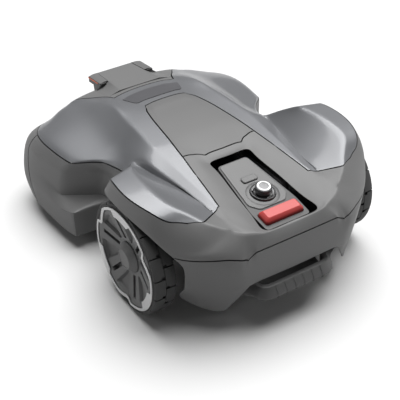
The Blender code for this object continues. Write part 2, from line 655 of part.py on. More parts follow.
def chassis():
    """The sealed tub, its lid and seal, and what they hold."""
    outline = mirrored_outline([
        (0.095, CHASSIS_REAR_Y), (CHASSIS_HALF_WIDTH, CHASSIS_REAR_Y + 0.050),
        (CHASSIS_HALF_WIDTH, CHASSIS_STEP_Y - 0.030), (NOSE_HALF_WIDTH, CHASSIS_STEP_Y + 0.040),
        (NOSE_HALF_WIDTH, CHASSIS_FRONT_Y - 0.020), (NOSE_HALF_WIDTH - 0.020, CHASSIS_FRONT_Y),
    ])
    inner = inset(outline, TUB_WALL)
    floor_z = TUB_BOTTOM_Z + TUB_WALL
    arm_z = TUB_TOP_Z - ARM_HEIGHT
    tub = prism("tub", [outline], TUB_BOTTOM_Z, TUB_TOP_Z)
    arms = [box("arm", (side * (NOSE_HALF_WIDTH - TUB_WALL), CASTER_Y - ARM_HALF_WIDTH, arm_z),
                (side * (CASTER_X + ARM_HALF_WIDTH), CASTER_Y + ARM_HALF_WIDTH, TUB_TOP_Z))
            for side in (1, -1)]
    for arm in arms:
        outward(arm)
    tub = union("lower_chassis", [tub, *arms])
    bores = [cylinder("bore", BUSH_RADIUS + FIT, (side * CASTER_X, CASTER_Y, arm_z - 0.01),
                      (side * CASTER_X, CASTER_Y, TUB_TOP_Z + 0.01)) for side in (1, -1)]
    well = cylinder("well", CUT_WELL_RADIUS, (0, CUT_Y, TUB_BOTTOM_Z - 0.01), (0, CUT_Y, floor_z + 0.01))
    tub = cut(tub, prism("hollow", [inner], floor_z, TUB_TOP_Z + 0.01), well, *bores)
    finish(tub, BLACK).name = "lower_chassis"

    seal_z = TUB_TOP_Z + FIT
    finish(prism("chassis_seal", [outline, inner], seal_z, seal_z + SEAL_HEIGHT), RUBBER)
    lid_z = seal_z + SEAL_HEIGHT + FIT
    lid = cut(prism("upper_chassis", [outline], lid_z, LID_TOP_Z),
              prism("hollow", [inner], lid_z - 0.01, LID_TOP_Z - TUB_WALL))
    finish(lid, BLACK).name = "upper_chassis"

    rest_z = floor_z + FIT
    finish(box("battery_pack", (-0.065, -0.255, rest_z), (0.065, -0.085, rest_z + 0.050), 0.004), CELL)
    finish(box("battery_cover", (-0.070, -0.260, TUB_BOTTOM_Z - FIT - 0.003),
               (0.070, -0.100, TUB_BOTTOM_Z - FIT), 0.001), BLACK)
    finish(box("main_board", (-0.060, 0.130, rest_z), (0.060, 0.255, rest_z + BOARD_THICKNESS)), BOARD)

    for hand, side in (("left", -1), ("right", 1)):
        start = side * (CHASSIS_HALF_WIDTH + FIT)
        unit = cylinder("unit", GEARBOX_RADIUS, (start, WHEEL_Y, WHEEL_RADIUS),
                        (side * (WHEEL_INNER_X - GEARBOX_GAP), WHEEL_Y, WHEEL_RADIUS))
        shaft = cylinder("shaft", AXLE_RADIUS + FIT,
                         (side * (WHEEL_INNER_X - AXLE_REACH - 0.004), WHEEL_Y, WHEEL_RADIUS),
                         (side * WHEEL_INNER_X, WHEEL_Y, WHEEL_RADIUS), 24)
        unit = cut(unit, shaft)
        finish(unit, DARK).name = f"drive_unit_{hand}"
        bush = turned("bush", [(STEM_RADIUS + FIT, TUB_TOP_Z), (BUSH_RADIUS, TUB_TOP_Z),
                               (BUSH_RADIUS, arm_z - FIT),
                               (BUSH_FLANGE_RADIUS, arm_z - FIT),
                               (BUSH_FLANGE_RADIUS, arm_z - FIT - BUSH_FLANGE_HEIGHT),
                               (STEM_RADIUS + FIT, arm_z - FIT - BUSH_FLANGE_HEIGHT),
                               (STEM_RADIUS + FIT, TUB_TOP_Z)], 24)
        bush = outward(placed(bush, Matrix.Translation((side * CASTER_X, CASTER_Y, 0))))
        finish(bush, BRASS).name = f"caster_bush_{hand}"

    half = [(HANDLE_HALF_WIDTH, CHASSIS_REAR_Y - FIT), (HANDLE_HALF_WIDTH, HANDLE_REAR_Y + HANDLE_CORNER),
            (HANDLE_HALF_WIDTH - HANDLE_CORNER, HANDLE_REAR_Y)]
    back = [(-x, y) for x, y in reversed(half)]
    wall = HANDLE_WALL
    gap = [(-HANDLE_HALF_WIDTH + wall, CHASSIS_REAR_Y - FIT),
           (-HANDLE_HALF_WIDTH + wall, HANDLE_REAR_Y + wall)]
    front = [(-x, y) for x, y in reversed(gap)]
    finish(prism("carry_handle", [[*half, *back, *gap, *front]], HANDLE_TOP_Z - HANDLE_HEIGHT,
                 HANDLE_TOP_Z), DARK)


def outward(obj):
    """Turns every face of a closed mesh outwards."""
    bm = bmesh.new()
    bm.from_mesh(obj.data)
    bmesh.ops.recalc_face_normals(bm, faces=bm.faces)
    bm.to_mesh(obj.data)
    bm.free()
    return obj


def drive_wheel(hand, side):
    """Tyre, rim, trim ring, hub cap and axle of one drive wheel, turned about the X axis."""
    centre = Vector((side * WHEEL_INNER_X, WHEEL_Y, WHEEL_RADIUS))
    place = Matrix.Translation(centre) @ Matrix.Rotation(side * math.pi / 2, 4, "Y")
    bore = WHEEL_RADIUS - TYRE_WALL

    def lugs(phase):
        points = []
        for k in range(LUG_COUNT):
            for share, depth in LUG_SHARES:
                turn = 2 * math.pi * (k + share + phase) / LUG_COUNT
                points.append(polar(WHEEL_RADIUS - depth, turn))
        return points

    half = TYRE_WIDTH / 2
    tyre = union("tyre", [prism("tread", [lugs(0.0), ring_points(bore, 40)], 0, half + 0.0002),
                          prism("tread", [lugs(0.5), ring_points(bore, 40)], half, TYRE_WIDTH)])
    pieces = {"tyre": (tyre, RUBBER)}

    seat = bore - FIT
    hub_top = TYRE_WIDTH + RIM_RISE
    back = TYRE_WIDTH - RIM_WEB
    rim = turned("rim", [
        (seat, 0.003), (seat, TYRE_WIDTH - 0.0015), (seat - 0.006, TYRE_WIDTH), (HUB_CAP_RADIUS, hub_top),
        (AXLE_RADIUS + FIT, hub_top), (AXLE_RADIUS + FIT, 0.010), (0.026, 0.010), (0.030, back),
        (seat - 0.008, back),
        (seat - 0.004, 0.003), (seat, 0.003)], 40)
    rim = outward(to_mesh(rim))
    half_slot = SLOT_WIDTH / 2
    cutters = []
    for k in range(SPOKE_COUNT):
        turn = 2 * math.pi * k / SPOKE_COUNT + SPOKE_TURN
        spoke = Matrix.Rotation(turn, 4, "Z")
        slot = box("slot", (SLOT_REACH[0], -half_slot, back - 0.01),
                   (SLOT_REACH[1], half_slot, hub_top + 0.01))
        gap = math.pi / SPOKE_COUNT
        near, far = math.radians(17.5), math.radians(18.5)
        pocket = prism("pocket", [[polar(POCKET_REACH[0], gap - near), polar(POCKET_REACH[1], gap - far),
                                   polar(POCKET_REACH[1], gap), polar(POCKET_REACH[1], gap + far),
                                   polar(POCKET_REACH[0], gap + near)]], hub_top - POCKET_DEPTH,
                                 hub_top + 0.01)
        cutters += [placed(slot, spoke), placed(pocket, spoke)]
    pieces["rim"] = (cut(rim, *cutters), GREY)

    rings = [], []
    for k in range(48):
        outer = WHEEL_RADIUS - TRIM_INSET - (TRIM_STEP if 6 <= k % 16 <= 10 else 0.0)
        inner = outer - (TRIM_TAB if k % 16 in (14, 15, 0, 1, 2) else TRIM_WIDTH)
        for ring, radius in zip(rings, (outer, inner)):
            ring.append(polar(radius, 2 * math.pi * k / 48))
    pieces["wheel_trim"] = (prism("trim", rings, TYRE_WIDTH + FIT, TYRE_WIDTH + FIT + TRIM_THICKNESS),
                            SILVER)
    low = hub_top + FIT
    high = low + HUB_CAP_HEIGHT
    cap = turned("cap", [(0.0, low), (HUB_CAP_RADIUS, low), (HUB_CAP_RADIUS, low + 0.0025),
                         (HUB_TOP_RADIUS, high),
                         (HUB_TOP_RADIUS - 0.002, high), (HUB_TOP_RADIUS - 0.003, high - 0.001),
                         (0.0, high - 0.001)], 32)
    pieces["hub_cap"] = (outward(to_mesh(cap)), DARK)
    pieces["axle"] = (cylinder("axle", AXLE_RADIUS, (0, 0, -AXLE_REACH), (0, 0, hub_top - FIT), 24), STEEL)
    for label, (obj, look) in pieces.items():
        obj = finish(set_origin(placed(obj, place), centre), look)
        obj.name = f"{label}_{hand}"


def caster(hand, side):
    """Fork, axle and wheel of one front caster."""
    arm_z = TUB_TOP_Z - ARM_HEIGHT
    crown_top = arm_z - 2 * FIT - BUSH_FLANGE_HEIGHT
    reach = CASTER_WIDTH / 2 + FORK_GAP
    axle_y = CASTER_Y - CASTER_TRAIL
    x = side * CASTER_X
    crown = box("crown", (x - reach - FORK_LEG, CASTER_Y - 0.016, crown_top - FORK_CROWN_HEIGHT),
                (x + reach + FORK_LEG, CASTER_Y + 0.016, crown_top))
    legs = [box("leg", (min(x + s * reach, x + s * (reach + FORK_LEG)), axle_y - 0.008,
                        CASTER_RADIUS - 0.009),
                (max(x + s * reach, x + s * (reach + FORK_LEG)), CASTER_Y + 0.008,
                 crown_top - 0.001)) for s in (1, -1)]
    stem = cylinder("stem", STEM_RADIUS, (x, CASTER_Y, crown_top - 0.002), (x, CASTER_Y, TUB_TOP_Z + 0.004),
                    24)
    collar = cylinder("collar", STEM_RADIUS + 0.003, (x, CASTER_Y, TUB_TOP_Z + FIT),
                      (x, CASTER_Y, TUB_TOP_Z + 0.004), 24)
    fork = union("fork", [crown, *legs, stem, collar])
    span = reach + FORK_LEG
    fork = cut(fork, cylinder("bore", 0.004 + FIT, (x - span - 0.01, axle_y, CASTER_RADIUS),
                              (x + span + 0.01, axle_y, CASTER_RADIUS), 20))
    finish(set_origin(fork, (x, CASTER_Y, crown_top)), DARK).name = f"caster_fork_{hand}"
    pin = cylinder("pin", 0.004, (x - span, axle_y, CASTER_RADIUS), (x + span, axle_y, CASTER_RADIUS), 20)
    finish(pin, STEEL).name = f"caster_axle_{hand}"
    half = CASTER_WIDTH / 2
    wheel = turned("wheel", [
        (0.004 + FIT, -half), (0.014, -half), (0.018, -half + 0.006), (CASTER_RADIUS - 0.012, -half + 0.006),
        (CASTER_RADIUS - 0.006, -half), (CASTER_RADIUS, -half + 0.010), (CASTER_RADIUS, half - 0.010),
        (CASTER_RADIUS - 0.006, half), (CASTER_RADIUS - 0.012, half - 0.006), (0.018, half - 0.006),
        (0.014, half),
        (0.004 + FIT, half), (0.004 + FIT, -half)], 24)
    centre = Vector((x, axle_y, CASTER_RADIUS))
    wheel = outward(placed(wheel, Matrix.Translation(centre) @ Matrix.Rotation(math.pi / 2, 4, "Y")))
    finish(set_origin(wheel, centre), RUBBER).name = f"caster_wheel_{hand}"


def cutting_unit():
    """Cutting motor on its height carrier, spindle, blade disc, three pivoting blades and skid plate."""
    disc_top = DISC_Z + DISC_THICKNESS
    motor_z = DISC_Z + 0.020
    motor_top = motor_z + CUT_MOTOR_HEIGHT
    shaft = 0.004
    motor = cylinder("motor", CUT_MOTOR_RADIUS, (0, CUT_Y, motor_z), (0, CUT_Y, motor_top))
    carrier = box("carrier", (GUIDE_X - 0.012, CUT_Y - 0.012, motor_top - 0.001),
                  (SPINDLE_X + 0.012, CUT_Y + 0.012, motor_top + 0.008))
    motor = union("motor", [motor, carrier])
    motor = cut(motor, cylinder("bore", shaft + FIT, (0, CUT_Y, motor_z - 0.01),
                                (0, CUT_Y, motor_z + 0.016), 24),
                cylinder("bore", SPINDLE_RADIUS + FIT, (SPINDLE_X, CUT_Y, motor_top - 0.01),
                         (SPINDLE_X, CUT_Y, motor_top + 0.02), 24),
                cylinder("bore", GUIDE_RADIUS + FIT, (GUIDE_X, CUT_Y, motor_top - 0.01),
                         (GUIDE_X, CUT_Y, motor_top + 0.02), 24))
    finish(set_origin(motor, (0, CUT_Y, motor_z)), DARK).name = "cutting_motor"

    floor_z = TUB_BOTTOM_Z + TUB_WALL + FIT
    drive_z = motor_top + 0.008 + CUT_TRAVEL + 0.0022
    spindle = cylinder("height_spindle", SPINDLE_RADIUS, (SPINDLE_X, CUT_Y, floor_z),
                       (SPINDLE_X, CUT_Y, drive_z - FIT), 20)
    finish(set_origin(spindle, (SPINDLE_X, CUT_Y, floor_z)), STEEL)
    lid_z = LID_TOP_Z - TUB_WALL - FIT
    finish(cylinder("height_motor", 0.013, (SPINDLE_X, CUT_Y, drive_z), (SPINDLE_X, CUT_Y, lid_z), 24), DARK)
    finish(cylinder("guide_rod", GUIDE_RADIUS, (GUIDE_X, CUT_Y, floor_z), (GUIDE_X, CUT_Y, lid_z), 20),
           STEEL)

    skid_z = DISC_Z - SKID_DROP
    disc = union("disc", [
        cylinder("plate", DISC_RADIUS, (0, CUT_Y, DISC_Z), (0, CUT_Y, disc_top), 36),
        cylinder("hub", DISC_HUB_RADIUS, (0, CUT_Y, DISC_Z - 0.006), (0, CUT_Y, motor_z - 0.002), 32),
        cylinder("shaft", shaft, (0, CUT_Y, DISC_Z), (0, CUT_Y, motor_z + 0.014), 24),
        cylinder("stud", 0.005, (0, CUT_Y, skid_z - 0.003), (0, CUT_Y, DISC_Z), 24),
        cylinder("head", 0.009, (0, CUT_Y, skid_z - 0.004), (0, CUT_Y, skid_z - FIT), 24)])
    pivots = [Vector((BLADE_PIVOT_RADIUS * math.sin(a), CUT_Y + BLADE_PIVOT_RADIUS * math.cos(a), 0))
              for a in (2 * math.pi * k / BLADE_COUNT for k in range(BLADE_COUNT))]
    disc = cut(disc, *[cylinder("hole", BLADE_SCREW_RADIUS + FIT, (p.x, p.y, DISC_Z - 0.01),
                                (p.x, p.y, disc_top + 0.01), 16)
                       for p in pivots])
    finish(set_origin(disc, (0, CUT_Y, DISC_Z)), DARK).name = "blade_disc"
    skid = turned("skid", [(0.005 + FIT, skid_z), (SKID_RADIUS, skid_z + 0.001),
                           (SKID_RADIUS, skid_z + 0.001 + SKID_THICKNESS),
                           (0.020, skid_z + SKID_THICKNESS), (0.005 + FIT, skid_z + SKID_THICKNESS),
                           (0.005 + FIT, skid_z)], 32)
    skid = outward(placed(skid, Matrix.Translation((0, CUT_Y, 0))))
    finish(set_origin(skid, (0, CUT_Y, skid_z)), DARK).name = "skid_plate"

    blade_top = DISC_Z - FIT
    for number, pivot in enumerate(pivots, 1):
        turn = -2 * math.pi * (number - 1) / BLADE_COUNT
        half = BLADE_WIDTH / 2
        tail = 0.008
        blade = prism("blade", [[(-half + 0.003, -tail), (half - 0.003, -tail), (half, -tail + 0.003),
                                 (half, BLADE_LENGTH - tail - 0.004), (half - 0.004, BLADE_LENGTH - tail),
                                 (-half + 0.004, BLADE_LENGTH - tail), (-half, BLADE_LENGTH - tail - 0.004),
                                 (-half, -tail + 0.003)], ring_points(BLADE_HOLE_RADIUS, 16)],
                      blade_top - BLADE_THICKNESS, blade_top)
        blade = placed(blade, Matrix.Translation(pivot) @ Matrix.Rotation(turn, 4, "Z"))
        finish(set_origin(blade, (pivot.x, pivot.y, blade_top)), STEEL).name = f"blade_{number}"
        low = blade_top - BLADE_THICKNESS - FIT
        screw = union("screw", [
            cylinder("head", BLADE_HOLE_RADIUS + 0.002, (pivot.x, pivot.y, low - 0.002),
                     (pivot.x, pivot.y, low), 16),
            cylinder("shank", BLADE_SCREW_RADIUS, (pivot.x, pivot.y, low - 0.001),
                     (pivot.x, pivot.y, disc_top), 16)])
        finish(screw, STEEL).name = f"blade_screw_{number}"


def control_console():
    """Console on the lid with its panel, tag, press-and-turn dial and stop button."""
    frame = Matrix.Translation((0, CONSOLE_Y, CONSOLE_Z)) @ Matrix.Rotation(CONSOLE_TILT, 4, "X")
    housing = prism("housing", [mirrored_outline([(0.044, -0.098), (0.049, -0.093), (0.050, -0.050),
                                                  (0.036, 0.084),
                                                  (0.032, 0.088)])], -0.080, 0.0)
    pocket = box("pocket", (-STOP_WIDTH / 2 - 0.0006, STOP_V - STOP_LENGTH / 2 - 0.0006, -0.0075),
                 (STOP_WIDTH / 2 + 0.0006, STOP_V + STOP_LENGTH / 2 + 0.0006, 0.02))
    bore = cylinder("bore", DIAL_PLUNGER_RADIUS + FIT, (0, DIAL_V, -0.014), (0, DIAL_V, 0.02), 24)
    housing = placed(cut(housing, pocket, bore), frame)
    below = box("below", (-0.2, -0.5, -0.2), (0.2, 0.2, LID_TOP_Z + FIT))
    finish(cut(housing, below), BLACK).name = "control_console"

    plate = prism("plate", [mirrored_outline([(0.026, -0.050), (0.043, -0.038), (0.0345, 0.081),
                                              (0.0305, 0.085)])],
                  FIT, FIT + PANEL_THICKNESS)
    collar = cylinder("collar", DIAL_BEZEL_RADIUS, (0, DIAL_V, FIT),
                      (0, DIAL_V, FIT + PANEL_THICKNESS + 0.004), 32)
    panel = cut(union("panel", [plate, collar]),
                cylinder("bore", DIAL_PLUNGER_RADIUS + FIT, (0, DIAL_V, -0.01), (0, DIAL_V, 0.02), 24))
    finish(placed(panel, frame), DARK).name = "control_panel"
    top = FIT + PANEL_THICKNESS
    tag = box("tag", (-0.013, 0.026, top + FIT), (0.013, 0.043, top + FIT + 0.002), 0.0006)
    finish(placed(tag, frame), GREY).name = "panel_tag"

    dial_low = top + 0.004 + DIAL_TRAVEL + FIT
    plunger = cylinder("plunger", DIAL_PLUNGER_RADIUS, (0, DIAL_V, -0.0115), (0, DIAL_V, dial_low + 0.005),
                       24)
    seat = frame @ Vector((0, DIAL_V, dial_low))
    finish(set_origin(placed(plunger, frame), seat), STEEL).name = "dial_plunger"
    knob = turned("knob", [(0.0, dial_low + DIAL_HEIGHT), (DIAL_RADIUS - 0.0015, dial_low + DIAL_HEIGHT),
                           (DIAL_RADIUS, dial_low + DIAL_HEIGHT - 0.0015), (DIAL_RADIUS, dial_low),
                           (DIAL_PLUNGER_RADIUS + FIT, dial_low),
                           (DIAL_PLUNGER_RADIUS + FIT, dial_low + 0.005 + FIT),
                           (0.0, dial_low + 0.005 + FIT)], 32)
    knob = outward(placed(knob, frame @ Matrix.Translation((0, DIAL_V, 0))))
    finish(set_origin(knob, seat), SILVER).name = "dial_knob"

    low, high = -0.0075 + STOP_TRAVEL + 0.0006, STOP_HEIGHT - 0.003
    button = prism("button", [[(-STOP_WIDTH / 2, STOP_V - STOP_LENGTH / 2 + 0.006),
                               (-STOP_WIDTH / 2 + 0.008, STOP_V - STOP_LENGTH / 2),
                               (STOP_WIDTH / 2 - 0.008, STOP_V - STOP_LENGTH / 2),
                               (STOP_WIDTH / 2, STOP_V - STOP_LENGTH / 2 + 0.006),
                               (STOP_WIDTH / 2, STOP_V + STOP_LENGTH / 2),
                               (-STOP_WIDTH / 2, STOP_V + STOP_LENGTH / 2)]],
                   low, high)
    edge = button.modifiers.new("bevel", "BEVEL")
    edge.width = 0.003
    edge.segments = 2
    button = placed(button, frame)
    finish(set_origin(button, frame @ Vector((0, STOP_V, 0))), RED).name = "stop_button"


def height_of(obj, x, y):
    """Height of the highest face of a part at a place in plan."""
    bpy.context.view_layer.update()
    solid = obj.evaluated_get(bpy.context.evaluated_depsgraph_get())
    hit, place, _, _ = solid.ray_cast((x, y, 1.0), (0.0, 0.0, -1.0))
    if not hit:
        raise ValueError(f"nothing of {obj.name} at {x}, {y}")
    return place.z


def grid_solid(name, rows, low, high):
    """A solid over rows of places in plan, between two heights that are functions of x and y."""
    bm = bmesh.new()
    floor = [[bm.verts.new((x, y, low(x, y))) for x, y in row] for row in rows]
    roof = [[bm.verts.new((x, y, high(x, y))) for x, y in row] for row in rows]
    last_i, last_j = len(rows) - 1, len(rows[0]) - 1
    for i in range(last_i):
        for j in range(last_j):
            cell = ((i, j), (i + 1, j), (i + 1, j + 1), (i, j + 1))
            bm.faces.new([roof[a][b] for a, b in cell])
            bm.faces.new([floor[a][b] for a, b in reversed(cell)])
    border = ([(i, 0) for i in range(last_i)] + [(last_i, j) for j in range(last_j)]
              + [(i, last_j) for i in range(last_i, 0, -1)] + [(0, j) for j in range(last_j, 0, -1)])
    for (a, b), (c, d) in zip(border, border[1:] + border[:1]):
        bm.faces.new((floor[a][b], floor[c][d], roof[c][d], roof[a][b]))
    return mesh_object(name, bm)


def spread(low, high, count):
    """Evenly spaced values from low to high."""
    return [low + (high - low) * k / count for k in range(count + 1)]


def antenna_and_plate():
    """Antenna block with its two side clips and their coloured lines, and the bare name plate."""
    base = SHELL["antenna_base"]

    def roof(x, y):
        return BLOCK_TOP_Z - BLOCK_DROP * (y - BLOCK_REAR_Y) / (BLOCK_FRONT_Y - BLOCK_REAR_Y)

    def block_low(x, y):
        return height_of(base, x, y) + LAID_GAP if y <= BLOCK_CHIN_Y else roof(x, y) - BLOCK_LIP

    def block_high(x, y):
        if abs(x) <= BLOCK_NECK:
            return max(roof(x, y), block_low(x, y) + 0.001)
        if y < CLIP_REAR_Y:
            return block_low(x, y) + 0.001
        return roof(x, y) - CLIP_THICKNESS - FIT

    half = [*spread(0.0, BLOCK_NECK, 3), *spread(BLOCK_NECK + 0.0005, BLOCK_HALF_WIDTH, 2)]
    xs = [*[-x for x in reversed(half[1:])], *half]
    ys = [*spread(BLOCK_REAR_Y, CLIP_REAR_Y - 0.0005, 5), *spread(CLIP_REAR_Y, BLOCK_CHIN_Y, 6),
          BLOCK_CHIN_Y + 0.006, BLOCK_FRONT_Y]
    finish(grid_solid("antenna_block", [[(x, y) for x in xs] for y in ys], block_low, block_high), DARK)
    for hand, side in (("left", -1), ("right", 1)):
        ys = spread(CLIP_REAR_Y, BLOCK_FRONT_Y, 3)
        xs = sorted(side * x for x in spread(BLOCK_NECK + 0.0005 + FIT, BLOCK_HALF_WIDTH, 2))
        clip = grid_solid(f"antenna_clip_{hand}", [[(x, y) for x in xs] for y in ys],
                          lambda x, y: roof(x, y) - CLIP_THICKNESS, roof)
        finish(clip, BLACK)
        xs = sorted(side * x for x in (BLOCK_HALF_WIDTH + FIT, BLOCK_HALF_WIDTH + FIT + LINE_WIDTH))
        ends = (ys[0] + 0.002, ys[-1] - 0.002)
        line = grid_solid(f"clip_line_{hand}", [[(x, y) for x in xs] for y in ends],
                          lambda x, y: roof(x, y) - CLIP_THICKNESS + 0.0008, lambda x, y: roof(x, y) - 0.002)
        finish(line, ORANGE)
    rows = [[(x, y) for x in spread(-reach, reach, 8)]
            for reach, y in zip(spread(PLATE_REAR[0], PLATE_FRONT[0], 3),
                                spread(PLATE_REAR[1], PLATE_FRONT[1], 3))]
    top = SHELL["top_shell"]
    finish(grid_solid("name_plate", rows, lambda x, y: height_of(top, x, y) + LAID_GAP,
                      lambda x, y: height_of(top, x, y) + LAID_GAP + PLATE_THICKNESS), BLACK)


def suspension():
    """Frame that carries the floating shell on four posts."""
    low = LID_TOP_Z + FIT
    rail_x = 0.086
    bars = [box("bar", (-rail_x - 0.007, 0.113, low), (rail_x + 0.007, 0.127, low + 0.005)),
            box("bar", (-rail_x - 0.007, -0.082, low), (rail_x + 0.007, -0.068, low + 0.005))]
    for side in (1, -1):
        x = side * rail_x
        bars.append(box("rail", (x - 0.007, -0.192, low), (x + 0.007, 0.127, low + 0.005)))
        for y, skin in ((0.120, "top_shell"), (-0.185, "rear_cover")):
            top = min(underside(SHELL[skin], x + 0.008 * math.cos(a), y + 0.008 * math.sin(a))
                      for a in (math.pi * k / 4 for k in range(8)))
            bars.append(cylinder("post", 0.007, (x, y, low + 0.001), (x, y, top - FIT), 20))
    frame = union("suspension_frame", bars)
    finish(set_origin(frame, (0, 0, low)), STEEL)


chassis()
for hand_name, hand_side in (("left", -1), ("right", 1)):
    drive_wheel(hand_name, hand_side)
    caster(hand_name, hand_side)
cutting_unit()
control_console()
antenna_and_plate()
suspension()
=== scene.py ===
"""Visual model of a robotic lawn mower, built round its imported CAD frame.

The body shell is one smoothed cage cut into panels at its seams. Wheels, console, antenna and handle
replace their plain CAD solids with detailed pieces. The working parts underneath keep their CAD shapes,
with finished materials.
"""

import logging
import math
from dataclasses import dataclass, field
from enum import Enum
from typing import Callable, Collection, Iterable, Optional, Sequence

import bmesh
import bpy
from mathutils import Matrix, Vector


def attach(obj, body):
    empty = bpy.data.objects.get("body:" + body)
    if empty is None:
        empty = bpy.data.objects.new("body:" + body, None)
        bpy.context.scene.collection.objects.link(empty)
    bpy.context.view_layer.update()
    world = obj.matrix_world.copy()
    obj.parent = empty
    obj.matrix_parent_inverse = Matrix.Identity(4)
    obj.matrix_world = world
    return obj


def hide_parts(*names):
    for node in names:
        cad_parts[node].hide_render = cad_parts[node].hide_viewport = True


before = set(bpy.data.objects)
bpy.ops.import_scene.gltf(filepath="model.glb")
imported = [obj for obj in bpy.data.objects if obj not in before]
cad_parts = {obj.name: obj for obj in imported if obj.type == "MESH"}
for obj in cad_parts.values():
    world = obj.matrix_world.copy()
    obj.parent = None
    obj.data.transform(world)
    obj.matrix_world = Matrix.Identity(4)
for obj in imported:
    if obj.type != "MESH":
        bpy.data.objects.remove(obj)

LOG = logging.getLogger("mower")
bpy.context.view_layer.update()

Point = tuple[float, float, float]
Flat = tuple[float, float]
Line = tuple[Point, ...]
Verts = Sequence[bmesh.types.BMVert]

HANDS = (("left", -1), ("right", 1))

# Distances at which points are joined, and at which two points count as the same place.
WELD, NEAR = 0.00001, 0.0001

# Roughness of a clear coat, how far a roughness drifts over a surface, and the least roughness.
COAT_ROUGHNESS, POLISH_DRIFT, LEAST_ROUGHNESS = 0.12, 0.05, 0.02

# Most of a side that a rounded corner takes, and most of a radius that half a spoke takes.
MOST_CUT, MOST_SPOKE = 0.45, 0.49

# Degrees that one tab of a wheel's trim ring takes.
TAB_SPAN = 120

# Shell cage, right half, from the rear seam (first point) to the nose (last point).
INNER_SEAM: Line = (
    (0.104, -0.2285, 0.2312), (0.1015, -0.207, 0.2338), (0.099, -0.185, 0.2362), (0.093, -0.135, 0.2412),
    (0.0855, -0.078, 0.2465), (0.080, -0.035, 0.2490), (0.0755, 0.000, 0.2500), (0.069, 0.050, 0.2500),
    (0.061, 0.092, 0.2485), (0.0515, 0.120, 0.2462), (0.075, 0.218, 0.2285), (0.100, 0.262, 0.2145),
    (0.124, 0.303, 0.1980), (0.127, 0.3195, 0.1820), (0.122, 0.3305, 0.1580),
)
SPINE_CREASE: Line = (
    (0.1125, -0.2345, 0.2300), (0.1115, -0.209, 0.2324), (0.110, -0.187, 0.2352), (0.112, -0.136, 0.2395),
    (0.114, -0.080, 0.2435), (0.116, -0.035, 0.2460), (0.1165, -0.005, 0.2470), (0.113, 0.050, 0.2475),
    (0.1105, 0.086, 0.2470), (0.107, 0.122, 0.2455), (0.103, 0.192, 0.2380), (0.120, 0.258, 0.2110),
    (0.135, 0.301, 0.1950), (0.138, 0.318, 0.1800), (0.132, 0.330, 0.1580),
)
VALLEY: Line = (
    (0.1215, -0.2382, 0.2287), (0.1238, -0.2085, 0.2290), (0.1258, -0.1885, 0.2295), (0.1318, -0.136, 0.2319),
    (0.1398, -0.080, 0.2341), (0.1452, -0.030, 0.2364), (0.1440, -0.004, 0.2330), (0.138, 0.052, 0.2265),
    (0.139, 0.082, 0.2255), (0.140, 0.112, 0.2235), (0.138, 0.190, 0.2210), (0.140, 0.256, 0.2050),
    (0.150, 0.298, 0.1910), (0.151, 0.316, 0.1770), (0.142, 0.3295, 0.1580),
)
SHOULDER: Line = (
    (0.1254, -0.2408, 0.2300), (0.1294, -0.2115, 0.2314), (0.1312, -0.1897, 0.2312), (0.1352, -0.134, 0.2277),
    (0.1478, -0.078, 0.2248), (0.1600, -0.014, 0.2223), (0.159, 0.003, 0.2190), (0.156, 0.050, 0.2130),
    (0.161, 0.080, 0.2105), (0.170, 0.110, 0.2070), (0.172, 0.190, 0.2070), (0.168, 0.253, 0.1985),
    (0.172, 0.294, 0.1860), (0.167, 0.3125, 0.1735), (0.155, 0.3285, 0.1580),
)
RIDGE: Line = (
    (0.1600, -0.2640, 0.2413), (0.1800, -0.2388, 0.2533), (0.2030, -0.2060, 0.2648), (0.2070, -0.150, 0.2686),
    (0.2043, -0.104, 0.2664), (0.1960, -0.067, 0.2620), (0.170, -0.010, 0.2118), (0.175, 0.048, 0.2030),
    (0.192, 0.080, 0.1975), (0.216, 0.112, 0.1910), (0.223, 0.192, 0.1905), (0.213, 0.250, 0.1840),
    (0.200, 0.287, 0.1760), (0.186, 0.3075, 0.1675), (0.168, 0.3265, 0.1575),
)
OUTER_SEAM: Line = (
    (0.1880, -0.2510, 0.2440), (0.2150, -0.2368, 0.2462), (0.2371, -0.2108, 0.2595), (0.2524, -0.158, 0.2636),
    (0.2518, -0.107, 0.2634), (0.2475, -0.080, 0.2595), (0.178, -0.012, 0.2030), (0.190, 0.060, 0.1945),
    (0.207, 0.082, 0.1895), (0.238, 0.115, 0.1795), (0.2475, 0.195, 0.1760), (0.241, 0.264, 0.1680),
    (0.215, 0.303, 0.1610), (0.200, 0.312, 0.1590), (0.180, 0.3225, 0.1575),
)

# Places along these lines: ends of the fender, the hatch and the antenna base, and corners of the side wall.
FENDER_FRONT, HATCH_REAR, HATCH_FRONT, ANTENNA_REAR = 5, 4, 9, 10
WALL_NICHE, WALL_PROUD = 7, 9
BRIDGE_FRONT: Line = ((0.0, 0.131, 0.2472), (0.030, 0.1295, 0.2471),
                      (0.0425, 0.1265, 0.2467), INNER_SEAM[HATCH_FRONT])
BRIDGE_REAR: Line = ((0.0, 0.224, 0.2325), (0.030, 0.2235, 0.2322),
                     (0.055, 0.2215, 0.2308), INNER_SEAM[ANTENNA_REAR])
HATCH_CENTRE: tuple[Line, ...] = (
    ((0.0, -0.035, 0.2505), (0.045, -0.035, 0.2500), (0.064, -0.035, 0.2495), INNER_SEAM[5]),
    ((0.0, 0.000, 0.2520), (0.043, 0.000, 0.2515), (0.060, 0.000, 0.2508), INNER_SEAM[6]),
    ((0.0, 0.050, 0.2520), (0.040, 0.050, 0.2515), (0.056, 0.050, 0.2508), INNER_SEAM[7]),
    ((0.0, 0.096, 0.2500), (0.036, 0.095, 0.2498), (0.050, 0.093, 0.2492), INNER_SEAM[8]),
)

